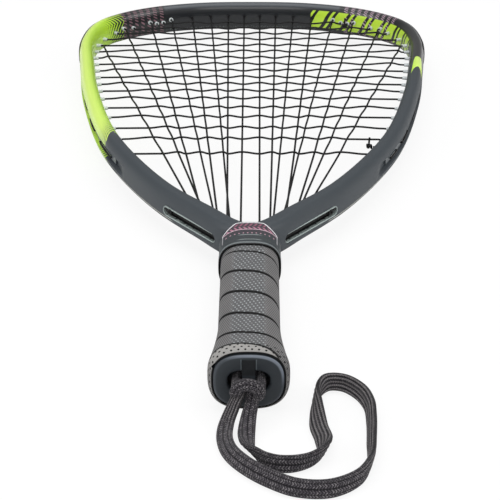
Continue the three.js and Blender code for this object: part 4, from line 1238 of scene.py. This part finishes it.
def crossings():
    """Every crossing: the long string, the cross string, and the shares along both."""
    for (k, side), (foot, head) in main_ends.items():
        for j, height in enumerate(cross_heights):
            share = (height - foot[1]) / (head[1] - foot[1])
            x = foot[0] + share * (head[0] - foot[0])
            half = mouth_at(crosses[j], 0)[0]
            if CROSSED_SHARES[0] < share < CROSSED_SHARES[1] and abs(x) < half - 1:
                over = 1 if (row_of(k, side) + j) % 2 else -1
                yield (k, side), j, share, (x + half) / (2 * half), over


main_stops = {key: [] for key in main_ends}
cross_stops = {j: [] for j in range(len(crosses))}
for key, j, main_share, cross_share, over in crossings():
    main_stops[key].append((main_share, over * WEAVE))
    cross_stops[j].append((cross_share, -over * WEAVE))
for side, pairs in SWAPPED_PAIRS.items():
    for low, high in pairs:
        main_stops[low, side].append((PAIR_CROSSING_SHARE, WEAVE))
        main_stops[high, side].append((PAIR_CROSSING_SHARE, -WEAVE))


def woven(start, end, stops):
    """Points from start to end that ease between the heights at the stops."""
    shares, heights = zip(*sorted([(0, start[2]), (1, end[2]), *stops]))
    points = []
    for i in range(len(shares) - 1):
        t = np.linspace(0, 1, WEAVE_STEPS)[:None if i == len(shares) - 2 else -1]
        share = shares[i] + (shares[i + 1] - shares[i]) * t
        height = heights[i] + (heights[i + 1] - heights[i]) * (1 - np.cos(math.pi * t)) / 2
        point = start + (end - start) * share[:, None]
        point[:, 2] = height
        points.extend(point)
    return points


def groove_run(low, high, up):
    """A string's run in the groove from one hole to the next."""
    return list(in_groove_at(np.linspace(low, high, 2 + int(abs(high - low) / 5)), LOOP_HEIGHT, up))


print("crossings:", sum(len(stops) for stops in cross_stops.values()))

# %% Long strings
TIE_SINK = 0.6
slot_tie = arm_loop(arm_order[0]) - slot_out * TIE_SINK - UPWARD


def long_string(side):
    """From the knot in the arm's slot, over the head four times, to the yoke."""
    route = []
    for i in range(0, MAIN_COUNT, 2):
        outer, inner = MAIN_COUNT - 1 - i, MAIN_COUNT - 2 - i
        route.append(flip(arm_loop(arm_order[i]) if i else slot_tie, side))
        foot, head = main_ends[outer, side]
        route.extend(woven(foot, head, main_stops[outer, side]))
        route.extend(flip(groove_run(mains[outer], mains[inner], STRING_LAYER), side))
        foot, head = main_ends[inner, side]
        route.extend(woven(foot, head, main_stops[inner, side])[::-1])
        if inner:
            route.append(flip(arm_loop(arm_order[i + 1]), side))
    route.append(flip([YOKE_STRING_PLACE, YOKE_LOOP_PLACE - LOOP_HEIGHT, STRING_LAYER], side))
    return route


def string_piece(name, points):
    line = bpy.data.curves.new(name, "CURVE")
    line.dimensions = "3D"
    line.bevel_depth = STRING_RADIUS * MM
    line.bevel_resolution = 2
    line.use_fill_caps = True
    spline = line.splines.new("POLY")
    spline.points.add(len(points) - 1)
    placed = np.column_stack([in_scene(points), np.ones(len(points))])
    spline.points.foreach_set("co", placed.ravel())
    piece = bpy.data.objects.new(name, line)
    bpy.context.scene.collection.objects.link(piece)
    alone(piece)
    bpy.ops.object.convert(target="MESH")
    piece = bpy.context.object
    piece.name = piece.data.name = name
    smooth(piece, 60)
    return piece


main_string = string_piece("long_string", long_string(1) + long_string(-1)[::-1])

# %% Cross strings
tie_mouths = [mouth_at(distance, -STRING_LAYER) for distance in tie_offs]
tie_loops = [in_groove_at(distance, LOOP_HEIGHT, -STRING_LAYER) for distance in tie_offs]
cross_route = [tie_mouths[0], tie_loops[0]]
for j, distance in enumerate(crosses):
    right = mouth_at(distance, -STRING_LAYER)
    loop = in_groove_at(distance, LOOP_HEIGHT, -STRING_LAYER)
    row = woven(flip(right, -1), right, cross_stops[j])
    side = 1 if j % 2 == 0 else -1
    cross_route += [flip(loop, side), *(row[::-1] if side > 0 else row), flip(loop, -side)]
    if j < len(crosses) - 1:
        cross_route += list(flip(groove_run(distance, crosses[j + 1], -STRING_LAYER), -side))[1:-1]
cross_route += [tie_loops[1], tie_mouths[1]]
cross_string = string_piece("cross_strings", cross_route)

# %% [markdown]
# A string ends in a small knot that is pulled tight against its grommet. Three rings of string lie side by
# side and a cut tail sticks out.

# %% Knots
TAIL_LENGTH = 6
RING_RADII = (1.05, 0.62)
RING_PLACES = (0, 1.25, 2.4)
RING_TILTS = (0.25, 0.12)
TAIL_ROOT = 1.2
TAIL_BEND = (2.2, 0.3)


def knot(name, end, heading, tail):
    """A knot whose rings lie one behind the other along heading, and whose tail sticks out along tail."""
    seat = end + heading * (CLEARANCE + 1)
    rings = []
    for i, along in enumerate(RING_PLACES):
        ring = added(
            bpy.ops.mesh.primitive_torus_add, "ring",
            major_radius=RING_RADII[0], minor_radius=RING_RADII[1], major_segments=28, minor_segments=12,
            rotation=(RING_TILTS[0] * (-1) ** i, RING_TILTS[1], 0),
        )
        ring.data.transform(axes_at(np.cross(tail, heading), tail, heading, seat + heading * along))
        rings.append(ring)
    middle = seat + heading * TAIL_ROOT
    bend = middle + tail * TAIL_BEND[0] + heading * TAIL_BEND[1]
    rings.append(string_piece(name, [middle, bend, middle + tail * TAIL_LENGTH]))
    piece = merge(name, rings)
    smooth(piece, 60)
    return piece


right_knot = knot("right_long_string_knot", slot_tie, slot_out, slot_along)
left_knot = mirrored(right_knot, "left_long_string_knot")
head_knot, throat_knot = (
    knot(f"cross_string_{place}_knot", mouth, -outward_at(distance), UPWARD)
    for place, mouth, distance in zip(("head", "throat"), tie_mouths, tie_offs)
)
string_finish = grained("string", 1500, (7, 7, 8), (16, 16, 18), 0.4, 0.00004, Specular_IOR_Level=0.3)
for piece, node in (
    (main_string, "main_string"), (cross_string, "cross_string"),
    (right_knot, "right_main_knot"), (left_knot, "left_main_knot"),
    (head_knot, "cross_head_knot"), (throat_knot, "cross_throat_knot"),
):
    dress(piece, string_finish, node)

# %% [markdown]
# ## Grip
# One strip of soft synthetic leather is wound round the handle from the butt in a little over six turns.
# Its edges are rolled down into a narrow dark seam. The grip is a squarish oval that flares towards the
# butt.

# %% Grip sizes
GRIP_HALF = np.array([15.9, 13.9])
FLARE_HALF = np.array([20.2, 17.9])
FLARE_START = 7
FLARE_END = 48
FLARE_POWER = 1.6
WRAP_THICKNESS = 1.9
WRAP_PITCH = 23.3
WRAP_SEAM = 0.6
WRAP_WIDTH = WRAP_PITCH - WRAP_SEAM
WRAP_END = 126.6
WRAP_SEAM_PLACE = 20.6
WRAP_EDGE = 1.3
WRAP_LEAST_WIDTH = 1.5


def grip_half(y, under=0.0):
    flare = np.clip((FLARE_END - y) / (FLARE_END - FLARE_START), 0, 1) ** FLARE_POWER
    half = GRIP_HALF + (FLARE_HALF - GRIP_HALF) * flare[..., None]
    return half[..., 0] - under, half[..., 1] - under


# %% Grip wrap
WRAP_FACE_SHARE = 0.75
WRAP_FOLD = 7
WRAP_TUCK = 2.5
WRAP_ROLL = 0.75
WRAP_INSIDE_GAP = 0.01
FOLD_THICKNESS = 0.3
SEAM_CLOSES = (5, 8)
SEAM_CLOSED = 0.9
FOLD_ROUNDNESS = 0.96
ROLL_STARTS = (4, 7)
FOLD_START = 1.2
first_turn = (FOLD_START + WRAP_LEAST_WIDTH / 2 - WRAP_SEAM_PLACE) / WRAP_PITCH
last_turn = (WRAP_END - WRAP_LEAST_WIDTH - WRAP_SEAM_PLACE) / WRAP_PITCH + 1


def on_wrap(u, v):
    turn = first_turn + u * (last_turn - first_turn)
    high = WRAP_SEAM_PLACE + turn * WRAP_PITCH - WRAP_SEAM / 2
    low = high - WRAP_WIDTH
    closed = SEAM_CLOSED * WRAP_SEAM * (1 - smoothstep(high, *SEAM_CLOSES))
    top, bottom = np.minimum(high + closed, WRAP_END), np.maximum(low, FOLD_START)
    face = (v < WRAP_FACE_SHARE) | (v > 0.999)
    across = np.where(v < WRAP_FACE_SHARE, v / WRAP_FACE_SHARE, (1 - v) / (1 - WRAP_FACE_SHARE))
    y = bottom + across * (top - bottom)
    from_edge = np.minimum(y - bottom, top - y)
    roll = WRAP_ROLL * (1 - smoothstep(from_edge, 0, WRAP_EDGE)) ** 1.5 * smoothstep(y, *ROLL_STARTS)
    folded = np.clip((WRAP_FOLD - y) / (WRAP_FOLD - FOLD_START), 0, 1)
    tuck = WRAP_TUCK * (1 - np.sqrt(1 - FOLD_ROUNDNESS * folded**2)) / (1 - math.sqrt(1 - FOLD_ROUNDNESS))
    inside = np.maximum(WRAP_THICKNESS - WRAP_INSIDE_GAP, tuck + FOLD_THICKNESS)
    under = np.where(face, np.maximum(roll, tuck), inside)
    return oval(y, *grip_half(y, under), 0.25 + turn)


grip_wrap = sheet_over("grip_wrap_strip", 640, 48, on_wrap, degrees=50)

# %% [markdown]
# The leather is embossed with small raised dots where the palm lies, and with a fine slanted weave at the
# sides. The rolled edges of the strip are darker. At the butt the strip is folded over the flare, and there
# it is perforated in three staggered rows. The dots are painted paler as a painted highlight on their raised
# tops, and the fold is painted lighter towards its top as a painted highlight.

# %% Grip leather
HOLE_PITCH = 3.3
HOLE_ROW_PITCH = 1.6
HOLE_ROW_START = 1.65
RIM_SHADOW = (1.65, 1.45)
FOLD_MARK = (6.3, 5.9)
grip = Finish("grip leather")
_, wrap_v, _ = grip.place("UV")
side_x, from_butt, over_axis = grip.own_place()
across_strip = wrap_v * (WRAP_WIDTH / WRAP_FACE_SHARE)
dot_across = (side_x * 0.4216 + from_butt * 0.1863).part() - 0.5
dot_along = (side_x * 0.2098 - from_butt * 0.3725).part() - 0.5
dot_x = dot_across * 1.9 + dot_along * 0.95
dot_y = dot_across * 1.07 - dot_along * 2.15
overhang = (side_x + 8).most(0)
overhang = overhang * overhang * 0.0095 * over_axis.rise(0, 4)
fold_place = from_butt + overhang
folded_zone = fold_place.rise(*FOLD_MARK)
zone = (side_x + 0.4).size().rise(10, 7) * over_axis.rise(6, 9) * (1 - folded_zone)
worn = grip.noise(330, 2, 0.6).rise(0.3, 0.6)
dot = round_spot(dot_x, dot_y, 1, 0.42, 0.58, 0.26) * zone * (worn * 0.6 + 0.4)
arc = side_x.turn(over_axis) * 17
hole_row = (from_butt - HOLE_ROW_START) / HOLE_ROW_PITCH
hole_x = ((arc / HOLE_PITCH + hole_row.whole() * 0.5).part() - 0.5) * HOLE_PITCH
hole_y = (hole_row.part() - 0.5) * HOLE_ROW_PITCH
hole = round_spot(hole_x, hole_y, 0.8, 1.5, 0.56, 0.36) * from_butt.rise(*FOLD_MARK)
grain = grip.noise(2200, 3, 0.6)
weave = ((over_axis * 0.9 + from_butt * 0.45 - side_x.size()) * (2 * math.pi / 1.25)).wave() * 0.5 + 0.5
strip_edge = across_strip.rise(1.2, 0.85) + across_strip.rise(WRAP_WIDTH - 1.2, WRAP_WIDTH - 0.85)
strip_edge = strip_edge.least(1) * from_butt.rise(6, 7)
fold_edge = fold_place.within(6.1, 7.3, 0.25) * (1 - side_x.rise(14.2, 15.2))
tone = grip.noise(60, 3, 0.5)
leather = grip.layered(
    grip.blend(tone, (116, 116, 116), (140, 138, 138)),
    (weave * 0.85 * (1 - zone), (52, 51, 52)),
    (zone * 0.62, (56, 60, 63)),
    (grain.rise(0.35, 0.75) * 0.35, (120, 118, 120)),
    # painted highlight on the fold, stronger towards its top
    (folded_zone * (over_axis.rise(2, 13) * 0.55 + 0.25), (166, 164, 161)),
    # the raised dots are painted paler as a painted highlight
    (dot * 0.85, (182, 187, 190)),
    (hole, (12, 12, 13)),
    (strip_edge, (4, 4, 5)),
    (fold_edge * 0.95, (6, 6, 7)),
    (from_butt.rise(*RIM_SHADOW), (6, 6, 7)),
)
grip_height = grain * 0.4 + weave * 0.4 * (1 - zone) + dot * 1.6 - hole * 2.0
grip_finish = grip.finish(
    Base_Color=leather,
    Roughness=0.75 - dot * 0.3,
    Normal=grip.bump(grip_height, 0.0003, 0.8),
    Specular_IOR_Level=0.3,
)
dress(grip_wrap, grip_finish, "grip_wrap")

# %% [markdown]
# ## Collar
# A rubber collar hides the end of the wrap. It is a sleeve with a rounded edge towards the grip and a
# pointed arch towards the head. The sheet's far edge follows the arch, and Solidify gives it its wall.

# %% Collar
COLLAR_START = 122
COLLAR_STATIONS = np.array([
    [0, 17.3, 15.3], [3, 17.3, 15.3], [7, 17.1, 14.3], [16, 17.2, 12.9], [34, 17.7, 11.9],
])
COLLAR_ARCH = np.array([
    [0, 31.6], [5.4, 31.6], [7.2, 31.3], [8.6, 30.3], [9.6, 29.1], [15.6, 22], [16.3, 20.7], [16.9, 19.9],
    [18, 19.5],
])
COLLAR_REAR = -1.8
COLLAR_WALL = 1.3
COLLAR_ROUNDING = 0.35
COLLAR_ROUNDED = 0.9


def on_collar(u, v):
    across, _ = superellipse(u * 2 * math.pi, *COLLAR_STATIONS[0, 1:], HANDLE_POWER)
    end = np.interp(np.abs(across), *COLLAR_ARCH.T)
    y = COLLAR_REAR + v * (end - COLLAR_REAR)
    half_width, half_height = halves_at(y, COLLAR_STATIONS)
    to_full = np.clip(1 - (y - COLLAR_REAR) / COLLAR_ROUNDED, 0, 1)
    sunk = COLLAR_ROUNDING * (1 - np.sqrt(1 - to_full**2))
    return oval(COLLAR_START + y, half_width - sunk, half_height - sunk, u)


collar = sheet_over("collar_sleeve", 120, 48, on_collar, fill=False, degrees=50)
apply_modifier(collar, "SOLIDIFY", thickness=COLLAR_WALL * MM, offset=-1, use_even_offset=True)
heal(collar, fill=False)
smooth(collar, 45)

# %% [markdown]
# The collar's top carries a small printed ornament: two rows of mauve strokes over a pale line and a row of
# dots, with two short light arcs below. A white line along the arch's edge is a painted highlight, a pale
# band along the rear rim is another, and the rear face is painted black as shade where it overhangs the
# grip.

# %% Collar print
rubber = Finish("collar rubber")
print_x, print_y, print_z = rubber.own_place()
on_top = print_z.rise(3.5, 6)
half_x = print_x.size()
sloping = (half_x - 14.6) * 0.82 + (print_y - 143.6) * 0.57
shoulder = (half_x - 7.4) * 0.45 + (print_y - 153) * 0.89
frame_gap = sloping.most(shoulder).most(print_y - 153).most((half_x - 15.3) * 1.9)
# painted highlight along the arch's edge, brighter towards the top
arch_edge_highlight = frame_gap.within(-0.75, 0.1, 0.12) * (0.45 + print_y.rise(139, 143) * 0.55) * (print_y > 131)
inside_print = frame_gap.rise(-0.9, -1.3)
tooth = (print_x / 2.7 + (print_y - 143) * 0.2).part()
small_tooth = (print_x / 2.7 - (print_y - 149) * 0.16 + 0.3).part()
bend = print_y + half_x * half_x * 0.012
upper_row = bend.within(148, 151.6, 0.2) * small_tooth.within(0.15, 0.62, 0.1)
lower_row = bend.within(143.4, 146.8, 0.2) * tooth.within(0.15, 0.6, 0.1)
rule = bend.within(142.9, 143.8, 0.12)
spot_x = ((print_x / 2.4).part() - 0.5) * 2.4
spot_y = bend - 137.9
spots = round_spot(spot_x, spot_y, 1.3, 0.4, 0.62, 0.4)
arcs = (bend.within(134.3, 135.3, 0.2) + bend.within(125, 126.2, 0.2)) * half_x.rise(7.5, 4)
rubber_grain = rubber.noise(2600, 2, 0.5)
blotch = rubber.noise(500, 3, 0.6)
rubber_base = rubber.blend(rubber_grain, (48, 53, 56), (62, 68, 72))
printed = rubber.layered(
    rubber_base,
    (blotch * inside_print * print_y.rise(136, 140), (66, 52, 62)),
    (upper_row * inside_print * 0.75, (158, 96, 118)),
    (lower_row * inside_print * 0.85, (186, 126, 148)),
    (rule * inside_print * 0.85, (216, 186, 198)),
    (spots * inside_print * 0.8, (206, 160, 176)),
    (arcs * 0.6, (176, 186, 186)),
    (arch_edge_highlight, (236, 232, 236)),
)
surface = rubber.layered(
    rubber_base,
    (on_top, printed),
    # painted highlight along the rear rim, then painted shade on the rear face where it overhangs the grip
    (print_y.within(120.9, 122.5, 0.3) * 0.5, (150, 158, 160)),
    (print_y.rise(120.9, 120.6), (3, 3, 4)),
)
collar_finish = rubber.finish(
    Base_Color=surface,
    Roughness=0.5,
    Normal=rubber.bump(rubber_grain, 0.00005, 0.4),
    Specular_IOR_Level=0.35,
)
dress(collar, collar_finish, "collar")

# %% [markdown]
# ## Butt cap
# The cap is a soft moulded cup. All its sections are the same oval, so one closed profile, from the hole's
# edge over the rim, along the skirt and back inside, is swept round. A bar crosses the hole for the
# lanyard, and a shallow channel in the face runs on from the bar.

# %% Butt cap
CAP_HOLE_HALF = [10.4, 6.1]
CAP_RIM_HALF = [17.3, 14.6]
CAP_WALL = 4
CAP_SKIRT_END = 29
CAP_SKIRT_GAP = 0.5
BAR_WIDTH = 6.6
BAR_THICKNESS = 3
BAR_RECESS = 0.8
BAR_CHANNEL_HALF_HEIGHT = 11.9
CHANNEL_START = -4
BORE_HALF = GRIP_HALF - WRAP_THICKNESS


def cap_profile():
    """Distance from the butt face, half width and half height, round the wall of the cap."""
    hole, rim = np.array(CAP_HOLE_HALF), np.array(CAP_RIM_HALF)
    profile = [(1.2, *hole), (0.5, *(hole + 0.12)), (0.15, *(hole + 0.45)), (0, *(hole + 1.0))]
    profile += [(0, *(rim - 3.2)), (0.03, *(rim - 1.6)), (0.22, *(rim - 0.75)), (0.6, *(rim - 0.25))]
    profile += [(1.2, *rim), (1.9, *(rim + 0.1)), (2.6, *(rim + 0.05))]
    for y in np.linspace(5, CAP_SKIRT_END, 8):
        profile.append((y, *grip_half(np.array(y), WRAP_THICKNESS + CAP_SKIRT_GAP)))
    profile += [(CAP_SKIRT_END, *BORE_HALF), (CAP_WALL, *BORE_HALF)]
    profile += [(CAP_WALL, *(hole + 0.3)), (CAP_WALL - 0.5, *hole)]
    return np.array(profile + profile[:1])


cap_ring = cap_profile()


def on_cap(u, v):
    y, half_width, half_height = cap_ring[np.rint(v * (len(cap_ring) - 1)).astype(int)].T
    return oval(y, half_width, half_height, u)


def rounded_box(name, half_width, half_height, start, end, rounding):
    """A box across the butt's middle, from start to end along the handle."""
    low, high = in_scene([[-half_width, start, -half_height], [half_width, end, half_height]])
    cube = bpy.ops.mesh.primitive_cube_add
    box = added(cube, name, size=1, location=(low + high) / 2, scale=high - low)
    apply_modifier(box, "BEVEL", width=rounding * MM, segments=4)
    return box


butt_cap = sheet_over("butt_cap_shell", 144, len(cap_ring) - 1, on_cap, fill=False, degrees=60)
channel = rounded_box(
    "channel", BAR_WIDTH / 2 + CLEARANCE, BAR_CHANNEL_HALF_HEIGHT, CHANNEL_START, BAR_RECESS, 0.6
)
combine(butt_cap, channel, "DIFFERENCE")
bar = rounded_box("bar", BAR_WIDTH / 2, CAP_HOLE_HALF[1] + 1, BAR_RECESS, BAR_RECESS + BAR_THICKNESS, 0.9)
combine(butt_cap, bar, "UNION")
smooth(butt_cap, 40)

soft = Finish("butt cap rubber")
soft_grain = soft.noise(1800, 3, 0.55)
soft_tone = soft.noise(90, 2, 0.5)
cap_x, cap_y, cap_z = soft.own_place()
channel_edge_highlight = cap_x.size().within(3.5, 3.9, 0.1) * cap_z.within(6.2, 12.4, 0.2)
channel_floor_shade = cap_x.size().rise(3.4, 3.2) * cap_z.within(3, 12.2, 0.6)
above = (cap_x * 0.45 + cap_z * 0.9).rise(4, 13)
rim_reach = (cap_x / CAP_RIM_HALF[0]).size().power(HANDLE_POWER)
rim_reach = rim_reach + (cap_z / CAP_RIM_HALF[1]).size().power(HANDLE_POWER)
rim_highlight = cap_y.within(0.1, 0.9, 0.1) * rim_reach.rise(0.7, 0.8)
# painted shade on the channel's floor, painted highlights on the channel's edges and on the rim's upper
# right
soft_colour = soft.layered(
    soft.blend(soft_tone, (33, 39, 44), (44, 50, 56)),
    (channel_floor_shade * 0.7, (14, 15, 17)),
    (channel_edge_highlight * 0.6, (112, 122, 126)),
    (rim_highlight * (above * 0.6 + 0.1), (128, 136, 148)),
)
soft_finish = soft.finish(
    Base_Color=soft_colour,
    Roughness=soft_grain * 0.15 + 0.5,
    Normal=soft.bump(soft_grain, 0.00006, 0.5),
)
dress(butt_cap, soft_finish, "butt_cap")

# %% [markdown]
# ## Hidden pieces
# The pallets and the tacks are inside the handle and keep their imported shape. They still get their finish.

# %% Foam and steel
foam = Finish("pallet foam")
cells = foam.texture("TexVoronoi", Scale=900.0)
foam_finish = foam.finish(
    Base_Color=foam.blend(cells, (48, 48, 50), (70, 70, 73)),
    Roughness=0.9,
    Normal=foam.bump(cells, 0.0004, 0.6),
)
steel = Finish("tack steel")
brushing = steel.noise(1200, 4, 0.6)
steel_finish = steel.finish(
    Base_Color=steel.blend(brushing, (150, 152, 155), (196, 198, 202)),
    Metallic=1.0,
    Roughness=brushing * 0.25 + 0.25,
)
for name in ("upper_pallet", "lower_pallet"):
    cover(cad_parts[name], foam_finish)
for name in ("upper_left_tack", "upper_right_tack", "lower_left_tack", "lower_right_tack"):
    cover(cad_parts[name], steel_finish)

# %% [markdown]
# ## Table and light
# The picture is a plain product shot: a white table, a soft light from above and weaker ones from both
# sides. The table's white for the camera comes from its own colour, so that no lamp has to bleach the
# racket, and part of it still takes light, so that a soft shadow shows.

# %% Table
table = added(bpy.ops.mesh.primitive_plane_add, "table", size=12)
white = Finish("table white")
seen = white.node("LightPath", output="Is Camera Ray")
white.finish(Base_Color=(0.8, 0.8, 0.8, 1), Roughness=0.9, Specular_IOR_Level=0.1)
glow = white.node("Emission", inputs={"Color": (1, 1, 1, 1), "Strength": 1.05})
mixed = white.node("MixShader", inputs={0: seen * 0.8, 1: Wire(white.shader.outputs[0]), 2: glow})
white.material.node_tree.links.new(mixed.socket, white.nodes["Material Output"].inputs["Surface"])
table.data.materials.append(white.material)

# %% Lamps and world


def lamp(name, place, target, size, power):
    data = bpy.data.lights.new(name, "AREA")
    data.shape = "RECTANGLE"
    data.size, data.size_y = size
    data.energy = power
    light = bpy.data.objects.new(name, data)
    light.location = place
    aim = np.array(target, float) - np.array(place, float)
    flat = math.hypot(aim[0], aim[1])
    light.rotation_euler = (math.atan2(flat, -aim[2]), 0, math.atan2(aim[1], aim[0]) - math.pi / 2)
    bpy.context.scene.collection.objects.link(light)


lamp("overhead", (0, 0.1, 1.5), (0, 0, 0), (1.6, 1.6), 14)
for name, side in (("left side", -1), ("right side", 1)):
    lamp(name, (1.3 * side, -0.5, 0.8), (0, -0.1, 0), (0.9, 0.9), 7)
lamp("front", (0, -1.6, 0.9), (0, -0.2, 0), (1.2, 0.6), 6)

world = bpy.data.worlds.new("studio")
world.use_nodes = True
bpy.context.scene.world = world
world_nodes = world.node_tree.nodes
backdrop = world_nodes["Background"].inputs
backdrop["Color"].default_value = (1, 1, 1, 1)
world_seen = Wire(world_nodes.new("ShaderNodeLightPath").outputs["Is Camera Ray"])
link_or_set(backdrop["Strength"], world_seen * 0.65 + 0.35)
bpy.context.scene.view_settings.view_transform = "Standard"
